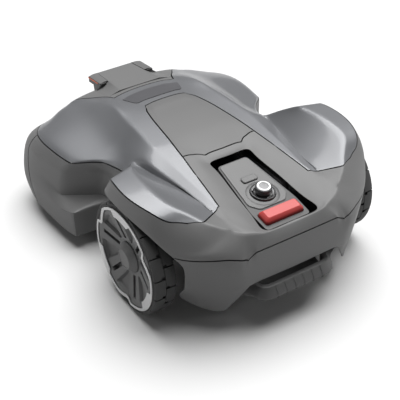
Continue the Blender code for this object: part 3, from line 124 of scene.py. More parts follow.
# Rear cover: centre strip from the hatch to the bumper seam, then round the fender to its front.
COVER_STRIP: tuple[Line, ...] = (
    ((0.0, -0.092, 0.2445), (0.043, -0.091, 0.2435), (0.062, -0.080, 0.2455), INNER_SEAM[HATCH_REAR]),
    ((0.0, -0.111, 0.2370), (0.042, -0.110, 0.2365), (0.067, -0.108, 0.2425), (0.0895, -0.108, 0.2435)),
    ((0.0, -0.135, 0.2340), (0.045, -0.135, 0.2340), (0.070, -0.135, 0.2400), INNER_SEAM[3]),
    ((0.0, -0.185, 0.2280), (0.050, -0.185, 0.2280), (0.076, -0.185, 0.2340), INNER_SEAM[2]),
    ((0.0, -0.207, 0.2250), (0.052, -0.207, 0.2250), (0.078, -0.207, 0.2310), INNER_SEAM[1]),
    ((0.0, -0.228, 0.2220), (0.054, -0.228, 0.2220), (0.080, -0.228, 0.2275), INNER_SEAM[0]),
    ((0.0, -0.280, 0.2150), (0.058, -0.280, 0.2150), (0.0815, -0.268, 0.2240), (0.1035, -0.260, 0.2273)),
    ((0.0, -0.317, 0.2125), (0.058, -0.316, 0.2130), (0.080, -0.300, 0.2195), (0.100, -0.290, 0.2243)),
    ((0.0, -0.3225, 0.2118), (0.058, -0.3235, 0.2148), (0.078, -0.3195, 0.2180), (0.095, -0.315, 0.2205)),
    ((0.0, -0.336, 0.1910), (0.070, -0.336, 0.1912), (0.0935, -0.3359, 0.1910), (0.1115, -0.3358, 0.1805)),
)

# Rows of that strip: the hatch's rear edge, the open recess of the console, the start of the rear corner,
# the crest and the bumper seam.
HATCH_ROW, RECESS_ROWS, CORNER_ROW, CREST_ROW, BUMPER_ROW = 0, range(1, 7), 5, 8, 9
COVER_CORNER: tuple[Line, ...] = (
    tuple(row[-1] for row in COVER_STRIP[CORNER_ROW:]),
    (SPINE_CREASE[0], (0.110, -0.2625, 0.2281), (0.1075, -0.2885, 0.2252), (0.1035, -0.3112, 0.2215),
     (0.1215, -0.3346, 0.1830)),
    (VALLEY[0], (0.117, -0.264, 0.2285), (0.1145, -0.2865, 0.2262), (0.111, -0.3066, 0.2234),
     (0.131, -0.3322, 0.1862)),
    (SHOULDER[0], (0.1255, -0.266, 0.2303), (0.1225, -0.2845, 0.2280), (0.118, -0.3014, 0.2250),
     (0.1405, -0.3288, 0.1884)),
    (RIDGE[0], (0.148, -0.2768, 0.2362), (0.137, -0.286, 0.2313), (0.1255, -0.2957, 0.2270),
     (0.151, -0.3238, 0.1893)),
    (OUTER_SEAM[0], (0.185, -0.267, 0.2310), (0.1815, -0.282, 0.2175), (0.178, -0.2965, 0.2035),
     (0.178, -0.3065, 0.1898)),
)
FENDER_TAIL: Line = (
    OUTER_SEAM[1], (0.2205, -0.244, 0.2320), (0.2245, -0.2505, 0.2170), (0.2265, -0.257, 0.2015),
    (0.226, -0.2625, 0.1860),
)
FENDER_REAR: Line = (
    OUTER_SEAM[2], (0.244, -0.212, 0.2500), (0.249, -0.213, 0.2400), (0.2515, -0.214, 0.2305),
    (0.252, -0.214, 0.2215),
)
FENDER_ARCH: Line = ((0.2655, -0.150, 0.2350), (0.264, -0.090, 0.2360), (0.252, -0.066, 0.2310))
BUMPER_MIDDLE: Line = (
    (0.0, -0.3385, 0.150), (0.070, -0.3385, 0.151), (0.0945, -0.3384, 0.150), (0.112, -0.3377, 0.149),
    (0.122, -0.3362, 0.148), (0.1315, -0.3333, 0.148), (0.141, -0.329, 0.148), (0.1515, -0.3225, 0.148),
    (0.178, -0.303, 0.147), (0.2105, -0.2735, 0.160),
)
BUMPER_FOLD: Line = (
    (0.0, -0.337, 0.118), (0.070, -0.337, 0.1195), (0.0945, -0.3368, 0.119), (0.112, -0.3353, 0.116),
    (0.122, -0.3328, 0.1135), (0.1315, -0.329, 0.113), (0.141, -0.3238, 0.1125), (0.1515, -0.3168, 0.1115),
    (0.178, -0.2945, 0.108), (0.208, -0.269, 0.108),
)
BUMPER_BOTTOM: Line = (
    (0.0, -0.331, 0.1165), (0.070, -0.3312, 0.118), (0.0925, -0.3308, 0.117), (0.105, -0.330, 0.1075),
    (0.116, -0.3262, 0.093), (0.1255, -0.3205, 0.078), (0.1345, -0.3145, 0.0645), (0.1435, -0.308, 0.052),
    (0.168, -0.286, 0.050), (0.200, -0.244, 0.065),
)

# Front walls, from the waist behind the hump to the front bumper seam, each from the top seam down.
SIDE_WALL: tuple[Line, ...] = (
    (OUTER_SEAM[6], (0.182, -0.010, 0.188), (0.187, -0.008, 0.118), (0.189, -0.006, 0.104),
     (0.190, -0.004, 0.060)),
    (OUTER_SEAM[7], (0.185, 0.042, 0.171), (0.189, 0.044, 0.113), (0.196, 0.045, 0.101),
     (0.201, 0.049, 0.036)),
    (OUTER_SEAM[8], (0.191, 0.071, 0.163), (0.194, 0.073, 0.108), (0.262, 0.064, 0.093),
     (0.263, 0.060, 0.034)),
    (OUTER_SEAM[9], (0.250, 0.128, 0.1545), (0.256, 0.135, 0.095), (0.272, 0.112, 0.081),
     (0.273, 0.104, 0.033)),
    (OUTER_SEAM[10], (0.262, 0.200, 0.1490), (0.268, 0.200, 0.108), (0.277, 0.188, 0.079),
     (0.279, 0.178, 0.034)),
    (OUTER_SEAM[11], (0.262, 0.268, 0.1420), (0.272, 0.258, 0.100), (0.2795, 0.235, 0.069),
     (0.280, 0.207, 0.036)),
)

# Front bumper: its top seam, and how far out and how high each level under it is.
NOSE_TOP: Line = (
    RIDGE[-1], SHOULDER[-1], VALLEY[-1], SPINE_CREASE[-1], INNER_SEAM[-1],
    (0.085, 0.3320, 0.1570), (0.042, 0.3335, 0.1560), (0.0, 0.3340, 0.1560),
)
NOSE_LEVELS: tuple[Flat, ...] = ((0.0105, 0.136), (0.014, 0.096), (0.014, 0.066), (0.009, 0.041))
NOSE_WALL: tuple[Line, ...] = (
    SIDE_WALL[5],
    (OUTER_SEAM[12], (0.243, 0.314, 0.138), (0.262, 0.304, 0.098), (0.2725, 0.284, 0.068),
     (0.271, 0.266, 0.038)),
    (OUTER_SEAM[13], (0.218, 0.3265, 0.137), (0.232, 0.326, 0.097), (0.240, 0.320, 0.067),
     (0.240, 0.311, 0.039)),
    (OUTER_SEAM[14], (0.186, 0.332, 0.136), (0.190, 0.336, 0.096), (0.193, 0.335, 0.066),
     (0.193, 0.330, 0.040)),
    *[(p, *[(p[0], p[1] + out, z) for out, z in NOSE_LEVELS]) for p in NOSE_TOP],
)
ANTENNA_BASE: tuple[Line, ...] = (
    (BRIDGE_REAR[0], (0.0, 0.266, 0.2220), (0.0, 0.306, 0.2080), (0.0, 0.3265, 0.1850), NOSE_TOP[7]),
    (BRIDGE_REAR[1], (0.036, 0.2655, 0.2213), (0.045, 0.306, 0.2065), (0.047, 0.3260, 0.1848), NOSE_TOP[6]),
    (BRIDGE_REAR[2], (0.072, 0.2640, 0.2182), (0.088, 0.305, 0.2030), (0.092, 0.324, 0.1840), NOSE_TOP[5]),
    INNER_SEAM[ANTENNA_REAR:],
)


class Grain(Enum):
    """Surface grain of a moulded or painted finish: (noise scale per metre, bump depth in metres)."""

    SATIN = (2600.0, 0.000012)
    FINE = (1500.0, 0.00004)
    RUBBER = (420.0, 0.00012)
    BRUSHED = (1800.0, 0.00002)


class Fold(Enum):
    """How sharp a fold or a corner of the shell cage stays: its crease weight, from 0 to 1."""

    SOFT = 0.45
    CLEAR = 0.6
    FIRM = 0.7
    CRISP = 0.75
    HARD = 0.8


class SurfaceEffects:
    """Shader node groups that several finishes share."""

    _made: dict[str, bpy.types.ShaderNodeTree] = {}

    @classmethod
    def _group(cls, name: str, inputs: dict[str, float], outputs: Sequence[str]) -> bpy.types.ShaderNodeTree:
        """Makes an empty group with value sockets.

        Args:
            name: Name of the group.
            inputs: Input sockets with their default values.
            outputs: Output sockets.

        Returns:
            The group, with its input and output nodes named "in" and "out".
        """
        tree = bpy.data.node_groups.new(name, "ShaderNodeTree")
        for label, value in inputs.items():
            socket = tree.interface.new_socket(label, in_out="INPUT", socket_type="NodeSocketFloat")
            socket.default_value = value
        for label in outputs:
            tree.interface.new_socket(label, in_out="OUTPUT", socket_type="NodeSocketFloat")
        tree.nodes.new("NodeGroupInput").name = "in"
        tree.nodes.new("NodeGroupOutput").name = "out"
        return tree

    @classmethod
    def grain(cls) -> bpy.types.ShaderNodeTree:
        """Fine moulded grain as a height, with a slow drift in tone.

        Returns:
            The group, made once.
        """
        if "grain" in cls._made:
            return cls._made["grain"]
        tree = cls._group("moulded_grain", {"Scale": 1500.0, "Drift": 6.0}, ("Height", "Tone"))
        links, source, sink = tree.links, tree.nodes["in"], tree.nodes["out"]
        place = tree.nodes.new("ShaderNodeTexCoord")
        for scale, detail, result in (("Scale", 2.0, "Height"), ("Drift", 3.0, "Tone")):
            noise = tree.nodes.new("ShaderNodeTexNoise")
            noise.inputs["Detail"].default_value = detail
            links.new(place.outputs["Object"], noise.inputs["Vector"])
            links.new(source.outputs[scale], noise.inputs["Scale"])
            links.new(noise.outputs["Fac"], sink.inputs[result])
        cls._made["grain"] = tree
        return tree

    @classmethod
    def flake(cls) -> bpy.types.ShaderNodeTree:
        """Metal flake of a paint as a sparkle mask.

        Returns:
            The group, made once.
        """
        if "flake" in cls._made:
            return cls._made["flake"]
        tree = cls._group("metal_flake", {"Scale": 2200.0, "Share": 0.5}, ("Sparkle",))
        links, source, sink = tree.links, tree.nodes["in"], tree.nodes["out"]
        place = tree.nodes.new("ShaderNodeTexCoord")
        cells = tree.nodes.new("ShaderNodeTexVoronoi")
        links.new(place.outputs["Object"], cells.inputs["Vector"])
        links.new(source.outputs["Scale"], cells.inputs["Scale"])
        part = tree.nodes.new("ShaderNodeMath")
        part.operation = "MULTIPLY"
        links.new(cells.outputs["Color"], part.inputs[0])
        links.new(source.outputs["Share"], part.inputs[1])
        links.new(part.outputs[0], sink.inputs["Sparkle"])
        cls._made["flake"] = tree
        return tree


@dataclass(frozen=True)
class Finish:
    """One finish of the mower and how to make its material.

    Attributes:
        name: Name of the material.
        slot: Slot of the record that the finish stands for; not used.
        color: Linear base colour.
        roughness: Middle roughness.
        metallic: Metallic value.
        grain: Surface grain.
        drift: How far the tone drifts over the surface, as a share.
        flake: Strength of metal flake.
        coat: Weight of the clear coat.
    """

    name: str
    slot: str
    color: Point
    roughness: float
    metallic: float = 0.0
    grain: Grain = Grain.FINE
    drift: float = 0.06
    flake: float = 0.0
    coat: float = 0.0

    def material(self) -> bpy.types.Material:
        """Makes the material, or finds it where it is made already.

        Returns:
            The material of this finish.
        """
        found = bpy.data.materials.get(self.name)
        if found and found.get("finish") == self.name:
            return found
        made = bpy.data.materials.new(self.name)
        made["finish"] = self.name
        made.use_nodes = True
        nodes, links = made.node_tree.nodes, made.node_tree.links
        shader = nodes["Principled BSDF"]
        shader.inputs["Metallic"].default_value = self.metallic
        shader.inputs["Coat Weight"].default_value = self.coat
        shader.inputs["Coat Roughness"].default_value = COAT_ROUGHNESS
        scale, depth = self.grain.value
        grain = nodes.new("ShaderNodeGroup")
        grain.node_tree = SurfaceEffects.grain()
        grain.inputs["Scale"].default_value = scale
        bump = nodes.new("ShaderNodeBump")
        bump.inputs["Strength"].default_value = 1.0
        bump.inputs["Distance"].default_value = depth
        links.new(grain.outputs["Height"], bump.inputs["Height"])
        links.new(bump.outputs["Normal"], shader.inputs["Normal"])
        shade = self._shade(made.node_tree, grain.outputs["Tone"])
        links.new(shade, shader.inputs["Base Color"])
        polish = nodes.new("ShaderNodeMapRange")
        polish.inputs["To Min"].default_value = max(LEAST_ROUGHNESS, self.roughness - POLISH_DRIFT)
        polish.inputs["To Max"].default_value = min(1.0, self.roughness + POLISH_DRIFT)
        links.new(grain.outputs["Tone"], polish.inputs["Value"])
        links.new(polish.outputs["Result"], shader.inputs["Roughness"])
        return made

    def _toned(self, share: float) -> tuple[float, float, float, float]:
        """The base colour, lighter or darker by a share."""
        return (*[min(1.0, c * (1 + share)) for c in self.color], 1.0)

    def _shade(self, tree: bpy.types.ShaderNodeTree, tone: bpy.types.NodeSocket) -> bpy.types.NodeSocket:
        """Adds the nodes of the base colour: its drift in tone and, in a paint, its flake.

        Args:
            tree: Node tree of the material.
            tone: Socket with the slow drift in tone.

        Returns:
            Socket with the colour.
        """
        drift = tree.nodes.new("ShaderNodeMix")
        drift.data_type = "RGBA"
        drift.inputs["A"].default_value = self._toned(-self.drift)
        drift.inputs["B"].default_value = self._toned(self.drift)
        tree.links.new(tone, drift.inputs["Factor"])
        if not self.flake:
            return drift.outputs["Result"]
        flake = tree.nodes.new("ShaderNodeGroup")
        flake.node_tree = SurfaceEffects.flake()
        lift = tree.nodes.new("ShaderNodeMix")
        lift.data_type = "RGBA"
        lift.inputs["B"].default_value = self._toned(self.flake)
        tree.links.new(flake.outputs["Sparkle"], lift.inputs["Factor"])
        tree.links.new(drift.outputs["Result"], lift.inputs["A"])
        return lift.outputs["Result"]


PAINT = Finish("metallic_paint", "painted_grey", (0.119, 0.122, 0.129), 0.46, 0.40, Grain.SATIN, 0.03,
               flake=0.08, coat=0.35)
BODY = Finish("grained_grey", "moulded_grey", (0.090, 0.090, 0.090), 0.54, 0.0, Grain.FINE, 0.04)
HATCH = Finish("grained_light_grey", "moulded_grey", (0.078, 0.078, 0.078), 0.54, 0.0, Grain.FINE, 0.04)
DARK = Finish("grained_dark_grey", "dark_plastic", (0.049, 0.049, 0.049), 0.55, 0.0, Grain.FINE, 0.06)
NOSE = Finish("grained_nose_grey", "dark_plastic", (0.090, 0.090, 0.090), 0.54, 0.0, Grain.FINE, 0.04)
# Near-black dark plastic: the drive unit's colour, and painted shade on the handle's tray.
SHADE = Finish("grained_chassis_black", "dark_plastic", (0.018, 0.018, 0.018), 0.65, 0.0, Grain.FINE, 0.06)
# Black plastic; also painted shade on the backs and seam walls of the shell panels and in the slots of the
# rims.
BLACK = Finish("grained_black", "black_plastic", (0.020, 0.020, 0.020), 0.55, 0.0, Grain.FINE, 0.10)
DECK = Finish("grained_deck_grey", "black_plastic", (0.043, 0.043, 0.043), 0.56, 0.0, Grain.FINE, 0.04)
PANEL = Finish("satin_panel_grey", "dark_plastic", (0.050, 0.050, 0.050), 0.40, 0.0, Grain.SATIN, 0.03)
KNOB = Finish("dark_metal_knob", "silver_trim", (0.093, 0.093, 0.095), 0.28, 0.6, Grain.SATIN, 0.05)
CLIP = Finish("grained_clip_grey", "black_plastic", (0.082, 0.082, 0.082), 0.50, 0.0, Grain.FINE, 0.04)
PLATE = Finish("satin_plate_grey", "black_plastic", (0.060, 0.060, 0.065), 0.40, 0.1, Grain.SATIN, 0.03)
GLOSS_BLACK = Finish("gloss_black", "black_plastic", (0.030, 0.030, 0.031), 0.22, 0.0, Grain.SATIN, 0.05)
TREAD = Finish("tread_rubber", "tyre_rubber", (0.026, 0.026, 0.026), 0.75, 0.0, Grain.RUBBER, 0.15)
SEAL = Finish("seal_rubber", "seal_rubber", (0.020, 0.020, 0.020), 0.80, 0.0, Grain.RUBBER, 0.10)
SILVER = Finish("light_trim", "silver_trim", (0.476, 0.476, 0.476), 0.40, 0.15, Grain.SATIN, 0.03)
WHITE = Finish("white_ring", "silver_trim", (0.800, 0.800, 0.800), 0.45, 0.0, Grain.SATIN, 0.02)
STOP_RED = Finish("stop_red", "stop_red", (0.365, 0.037, 0.034), 0.45, 0.0, Grain.SATIN, 0.03)
ORANGE = Finish("orange_line", "orange_trim", (0.595, 0.111, 0.034), 0.45, 0.0, Grain.SATIN, 0.04)
STEEL = Finish("bright_steel", "steel", (0.476, 0.476, 0.480), 0.30, 1.0, Grain.BRUSHED, 0.08)
BRASS = Finish("bush_bronze", "bush_brass", (0.510, 0.374, 0.162), 0.38, 1.0, Grain.BRUSHED, 0.08)
BOARD = Finish("board_green", "circuit_board", (0.025, 0.153, 0.060), 0.45, 0.0, Grain.SATIN, 0.10)
WRAP = Finish("battery_wrap", "battery_wrap", (0.038, 0.060, 0.119), 0.40, 0.0, Grain.SATIN, 0.08)


@dataclass(frozen=True)
class Rounding:
    """Rounded edges of a piece.

    Attributes:
        width: Width of the rounding.
        segments: Steps across it.
        angle: Angle in degrees above which an edge is rounded.
    """

    width: float
    segments: int = 2
    angle: float = 40.0

    def add(self, obj: bpy.types.Object) -> None:
        """Adds the rounding to a piece, as a modifier named "rounded".

        Args:
            obj: Piece to round.
        """
        bevel = obj.modifiers.new("rounded", "BEVEL")
        bevel.width = self.width
        bevel.segments = self.segments
        bevel.limit_method = "ANGLE"
        bevel.angle_limit = math.radians(self.angle)


def settle(obj: bpy.types.Object, body: str, finish: Finish, nodes: Sequence[str] = (),
           edges: Optional[Rounding] = None, smooth: float = 35.0) -> None:
    """Dresses a piece and fixes it to a body in place of some CAD nodes.

    Args:
        obj: Piece in its place.
        body: CAD body that carries it.
        finish: Finish all over it.
        nodes: CAD nodes that it stands for.
        edges: Rounding of its edges.
        smooth: Angle in degrees above which an edge stays sharp.
    """
    obj.data.materials.clear()
    obj.data.materials.append(finish.material())
    obj.data.shade_smooth()
    obj.data.set_sharp_from_angle(angle=math.radians(smooth))
    if edges:
        edges.add(obj)
    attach(obj, body)
    if nodes:
        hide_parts(*nodes)
    LOG.info("piece %s on %s", obj.name, body)


def new_object(name: str, bm: bmesh.types.BMesh) -> bpy.types.Object:
    """Makes a linked object from a mesh being edited, with its faces turned outwards.

    Args:
        name: Name of the object.
        bm: Its mesh, which is freed.

    Returns:
        The object.
    """
    bmesh.ops.recalc_face_normals(bm, faces=bm.faces)
    mesh = bpy.data.meshes.new(name)
    bm.to_mesh(mesh)
    bm.free()
    obj = bpy.data.objects.new(name, mesh)
    bpy.context.scene.collection.objects.link(obj)
    return obj


def evaluated(obj: bpy.types.Object) -> bpy.types.Mesh:
    """A new mesh with the shape of an object after its modifiers."""
    bpy.context.view_layer.update()
    return bpy.data.meshes.new_from_object(obj.evaluated_get(bpy.context.evaluated_depsgraph_get()))


def spread(low: float, high: float, count: int) -> list[float]:
    """Evenly spaced values from low to high, with a count of steps between them."""
    return [low + (high - low) * k / count for k in range(count + 1)]


def quads(bm: bmesh.types.BMesh, grid: Sequence[Verts],
          skip: Collection[tuple[int, int]] = ()) -> list[bmesh.types.BMFace]:
    """Adds a quad in every cell of a grid of points.

    Args:
        bm: Mesh that takes the quads.
        grid: Rows of points, each as long as the next.
        skip: Cells as (row, column) that stay open.

    Returns:
        The quads.
    """
    return [bm.faces.new((grid[i][j], grid[i][j + 1], grid[i + 1][j + 1], grid[i + 1][j]))
            for i in range(len(grid) - 1) for j in range(len(grid[i]) - 1) if (i, j) not in skip]


def band(bm: bmesh.types.BMesh, low: Verts, high: Verts) -> None:
    """Adds a closed band of quads between two rings of points.

    Args:
        bm: Mesh that takes the quads.
        low: First ring.
        high: Second ring, as long as the first.
    """
    for k in range(len(low)):
        after = (k + 1) % len(low)
        bm.faces.new((low[k], low[after], high[after], high[k]))


def new_verts(made: dict[str, list]) -> list[bmesh.types.BMVert]:
    """The points that an extrusion has made."""
    return [v for v in made["geom"] if isinstance(v, bmesh.types.BMVert)]


def prism(name: str, outline: Sequence[Flat], low: float, high: float, place: Matrix) -> bpy.types.Object:
    """A flat outline pulled up into a closed solid.

    Args:
        name: Name of the object.
        outline: Corners of the outline, in order.
        low: Height of the lower face.
        high: Height of the upper face.
        place: Where the solid goes.

    Returns:
        The solid.
    """
    bm = bmesh.new()
    face = bm.faces.new([bm.verts.new((x, y, low)) for x, y in outline])
    made = bmesh.ops.extrude_face_region(bm, geom=[face])
    bmesh.ops.translate(bm, vec=(0.0, 0.0, high - low), verts=new_verts(made))
    bm.transform(place)
    return new_object(name, bm)


def lathe(name: str, profile: Sequence[Flat], place: Matrix, steps: int = 72) -> bpy.types.Object:
    """A closed profile of (radius, height) turned about the Z axis.

    Args:
        name: Name of the object.
        profile: Corners of the profile, in order round it.
        place: Where the solid goes.
        steps: Number of steps of the turn.

    Returns:
        The solid.
    """
    bm = bmesh.new()
    verts = [bm.verts.new((radius, 0.0, height)) for radius, height in profile]
    edges = [bm.edges.new((a, b)) for a, b in zip(verts, verts[1:] + verts[:1])]
    bmesh.ops.spin(bm, geom=verts + edges, cent=(0, 0, 0), axis=(0, 0, 1), angle=2 * math.pi, steps=steps,
                   use_merge=True)
    bmesh.ops.remove_doubles(bm, verts=bm.verts, dist=2 * WELD)
    bm.transform(place)
    return new_object(name, bm)


def plate(name: str, outlines: Sequence[Sequence[Flat]], low: float, high: float,
          place: Matrix) -> bpy.types.Object:
    """A flat outline with holes, pulled up into a closed solid.

    Args:
        name: Name of the object.
        outlines: The outer outline, then its holes.
        low: Height of the lower face.
        high: Height of the upper face.
        place: Where the solid goes.

    Returns:
        The solid.
    """
    curve = bpy.data.curves.new(name, "CURVE")
    curve.dimensions = "2D"
    curve.fill_mode = "BOTH"
    curve.extrude = (high - low) / 2
    for outline in outlines:
        spline = curve.splines.new("POLY")
        spline.points.add(len(outline) - 1)
        for point, (x, y) in zip(spline.points, outline):
            point.co = (x, y, 0.0, 1.0)
        spline.use_cyclic_u = True
    source = bpy.data.objects.new(f"{name}_outline", curve)
    bpy.context.scene.collection.objects.link(source)
    mesh = evaluated(source)
    bpy.data.objects.remove(source)
    bm = bmesh.new()
    bm.from_mesh(mesh)
    bmesh.ops.remove_doubles(bm, verts=bm.verts, dist=WELD / 10)
    bm.transform(place @ Matrix.Translation((0.0, 0.0, (low + high) / 2)))
    return new_object(name, bm)


def loft(name: str, loops: Sequence[Sequence[Point]]) -> bpy.types.Object:
    """A closed solid through loops of points, with flat ends.

    Args:
        name: Name of the object.
        loops: Loops of points, each as long as the next.

    Returns:
        The solid.
    """
    bm = bmesh.new()
    rings = [[bm.verts.new(p) for p in loop] for loop in loops]
    for low, high in zip(rings, rings[1:]):
        band(bm, low, high)
    bm.faces.new(list(reversed(rings[0])))
    bm.faces.new(rings[-1])
    return new_object(name, bm)


def sheet(name: str, rows: Sequence[Sequence[Flat]], low: Callable[[float, float], float],
          high: Callable[[float, float], float]) -> bpy.types.Object:
    """A closed solid over rows of places in plan, between two heights.

    Args:
        name: Name of the object.
        rows: Rows of (x, y) places, each as long as the next.
        low: Height of the underside at a place.
        high: Height of the upper side at a place.

    Returns:
        The solid.
    """
    bm = bmesh.new()
    floor = [[bm.verts.new((x, y, low(x, y))) for x, y in row] for row in rows]
    roof = [[bm.verts.new((x, y, high(x, y))) for x, y in row] for row in rows]
    last_i, last_j = len(rows) - 1, len(rows[0]) - 1
    for i in range(last_i):
        for j in range(last_j):
            cell = ((i, j), (i + 1, j), (i + 1, j + 1), (i, j + 1))
            bm.faces.new([roof[a][b] for a, b in cell])
            bm.faces.new([floor[a][b] for a, b in reversed(cell)])
    border = ([(i, 0) for i in range(last_i)] + [(last_i, j) for j in range(last_j)]
              + [(i, last_j) for i in range(last_i, 0, -1)] + [(0, j) for j in range(last_j, 0, -1)])
    for (a, b), (c, d) in zip(border, border[1:] + border[:1]):
        bm.faces.new((floor[a][b], floor[c][d], roof[c][d], roof[a][b]))
    return new_object(name, bm)


def mirrored(half: Sequence[Flat]) -> list[Flat]:
    """A closed outline from its right half, which runs from the front to the back."""
    return [*half, *[(-x, y) for x, y in reversed(half)]]


def oblong(half_x: float, half_y: float, middle: float) -> list[Flat]:
    """Corners of a rectangle on the centre line, from its half sides and the place of its middle."""
    front, back = middle + half_y, middle - half_y
    return [(half_x, front), (-half_x, front), (-half_x, back), (half_x, back)]


def rounded(corners: Sequence[Flat], radius: float, steps: int = 5) -> list[Flat]:
    """A closed outline with every corner cut by a curve.

    Args:
        corners: Corners of the outline, in order.
        radius: Distance from a corner at which its curve starts, where the sides are long enough.
        steps: Steps of a curve.

    Returns:
        The points of the outline.
    """
    made = []
    for k, corner in enumerate(corners):
        middle = Vector(corner)
        ends = []
        for other in (Vector(corners[k - 1]), Vector(corners[(k + 1) % len(corners)])):
            side = other - middle
            ends.append(middle + side.normalized() * min(radius, side.length * MOST_CUT))
        start, end = ends
        for step in range(steps + 1):
            t = step / steps
            made.append(tuple(start * (1 - t) ** 2 + middle * 2 * t * (1 - t) + end * t ** 2))
    return made


def height_over(obj: bpy.types.Object, x: float, y: float) -> float:
    """Height of the highest face of a piece at a place in plan.

    Args:
        obj: The piece.
        x: Place across the mower.
        y: Place along the mower.

    Returns:
        The height, or 0 where the piece has no face.
    """
    solid = obj.evaluated_get(bpy.context.evaluated_depsgraph_get())
    hit, place, _, _ = solid.ray_cast((x, y, 1.0), (0.0, 0.0, -1.0))
    return place.z if hit else 0.0


@dataclass
class BodyShell:
    """The floating body shell: one smoothed cage, cut into thin panels along its seams.

    Attributes:
        skin: Wall thickness.
        seam: Open gap between two panels.
        levels: Rounds of smoothing of the cage.
        edge: Rounding of the panel edges.
        flange: Depth of the wall along a seam, painted black as shade in the seam gap.
        rounds: Rounds that draw the smoothed surface back to the cage points.
        pull: Share of the way in one round.
        inside: A point inside the shell.
        names: Panels, in the order of their material numbers in the cage.
        creases: Lines of cage points that stay sharp, and how sharp.
        corners: Cage points that stay sharp by themselves.
    """

    skin: float = 0.0025
    seam: float = 0.0028
    levels: int = 3
    edge: float = 0.0006
    flange: float = 0.019
    rounds: int = 4
    pull: float = 0.7
    inside: Point = (0.0, 0.0, 0.05)
    names: list[str] = field(default_factory=list)
    creases: list[tuple[list[Vector], Fold]] = field(default_factory=list)
    corners: list[Vector] = field(default_factory=list)

    def build(self) -> None:
        """Builds every panel in place of its CAD node."""
        self.bm = bmesh.new()
        self.top()
        self.rear()
        self.walls()
        looks = {"top_shell": PAINT, "centre_hatch": HATCH, "front_bumper": NOSE}
        mesh = self.surface()
        normals = [v.normal.copy() for v in mesh.vertices]
        owners = self.edge_use(mesh.polygons)
        for index, name in enumerate(self.names):
            faces = [p for p in mesh.polygons if p.material_index == index]
            groups = {name: faces}
            if name == "side_wall":
                groups = {"side_wall_right": [p for p in faces if p.center.x > 0],
                          "side_wall_left": [p for p in faces if p.center.x < 0]}
            for node, group in groups.items():
                panel = self.panel(f"{node}_panel", mesh, normals, group, owners)
                settle(panel, "shell", looks.get(name, BODY), [node], Rounding(self.edge), smooth=50.0)
                # Material 1 is black, painted shade: the panel's back, its walls in the seams and its rounded
                # edges read as shadow.
                panel.data.materials.append(BLACK.material())
                panel.modifiers["rounded"].material = 1

    def top(self) -> None:
        """Cage of the painted top and the hatch in it."""
        self.patch("top_shell", (INNER_SEAM, SPINE_CREASE, VALLEY, SHOULDER, RIDGE, OUTER_SEAM))
        self.patch("top_shell", (BRIDGE_FRONT, BRIDGE_REAR))
        self.patch("centre_hatch", (COVER_STRIP[HATCH_ROW], *HATCH_CENTRE, BRIDGE_FRONT))
        hump = FENDER_FRONT + 1
        self.crease(SPINE_CREASE[:ANTENNA_REAR + 1], Fold.CLEAR)
        self.crease(VALLEY[:hump], Fold.SOFT)
        self.crease(SHOULDER[2:hump], Fold.SOFT)
        self.crease(RIDGE[:hump], Fold.CLEAR)
        self.crease([line[FENDER_FRONT] for line in (SHOULDER, RIDGE, OUTER_SEAM)], Fold.FIRM)
        hatch = (*COVER_STRIP[HATCH_ROW][1:], INNER_SEAM[HATCH_FRONT])
        wall = (OUTER_SEAM[WALL_NICHE], OUTER_SEAM[WALL_PROUD])
        self.corners += [Vector(p) for p in (*hatch, *COVER_STRIP[BUMPER_ROW][2:], *wall)]

    def rear(self) -> None:
        """Cage of the rear cover, the fender bands and the rear bumper."""
        self.patch("rear_cover", COVER_STRIP, {(row, 0) for row in RECESS_ROWS})
        self.patch("rear_cover", COVER_CORNER)
        self.patch("rear_cover", (COVER_CORNER[-1], FENDER_TAIL, FENDER_REAR))
        drop = [FENDER_REAR]
        for high, low in zip(OUTER_SEAM[3:FENDER_FRONT + 1], FENDER_ARCH):
            drop.append(tuple(tuple(Vector(high).lerp(Vector(low), t)) for t in spread(0.0, 1.0, 4)))
        self.patch("rear_cover", drop)
        crest = [row[3] for row in COVER_CORNER[1:5]]
        self.crease([*COVER_STRIP[CREST_ROW], *crest, *COVER_CORNER[4][2::-1]], Fold.CLEAR)
        self.crease(OUTER_SEAM[:FENDER_FRONT + 1], Fold.CLEAR)
        self.crease(drop[-1], Fold.CLEAR)
        seam = [*COVER_STRIP[BUMPER_ROW][:3], *[row[4] for row in COVER_CORNER], FENDER_TAIL[4]]
        self.patch("rear_bumper", (seam, BUMPER_MIDDLE, BUMPER_FOLD, BUMPER_BOTTOM))
        self.crease(BUMPER_FOLD, Fold.CRISP)

    def walls(self) -> None:
        """Cage of the side walls, the front bumper and the antenna base."""
        self.patch("side_wall", SIDE_WALL)
        for level, fold in ((1, Fold.CRISP), (2, Fold.CRISP), (3, Fold.HARD)):
            self.crease([column[level] for column in SIDE_WALL], fold)
        self.crease(SIDE_WALL[2][1:], Fold.CLEAR)
        self.crease(SIDE_WALL[3][:3], Fold.CLEAR)
        self.patch("front_bumper", NOSE_WALL)
        self.patch("antenna_base", ANTENNA_BASE)

    def patch(self, name: str, rows: Sequence[Sequence[Point]],
              skip: Collection[tuple[int, int]] = ()) -> None:
        """Adds quads between rows of cage points to a panel.

        Args:
            name: Panel that the quads belong to.
            rows: Rows of points, each as long as the next.
            skip: Cells as (row, column) that stay open.
        """
        if name not in self.names:
            self.names.append(name)
        grid = [[self.bm.verts.new(p) for p in row] for row in rows]
        for face in quads(self.bm, grid, skip):
            face.material_index = self.names.index(name)

    def crease(self, line: Sequence[Point], fold: Fold) -> None:
        """Keeps a line of cage points sharp."""
        self.creases.append(([Vector(p) for p in line], fold))

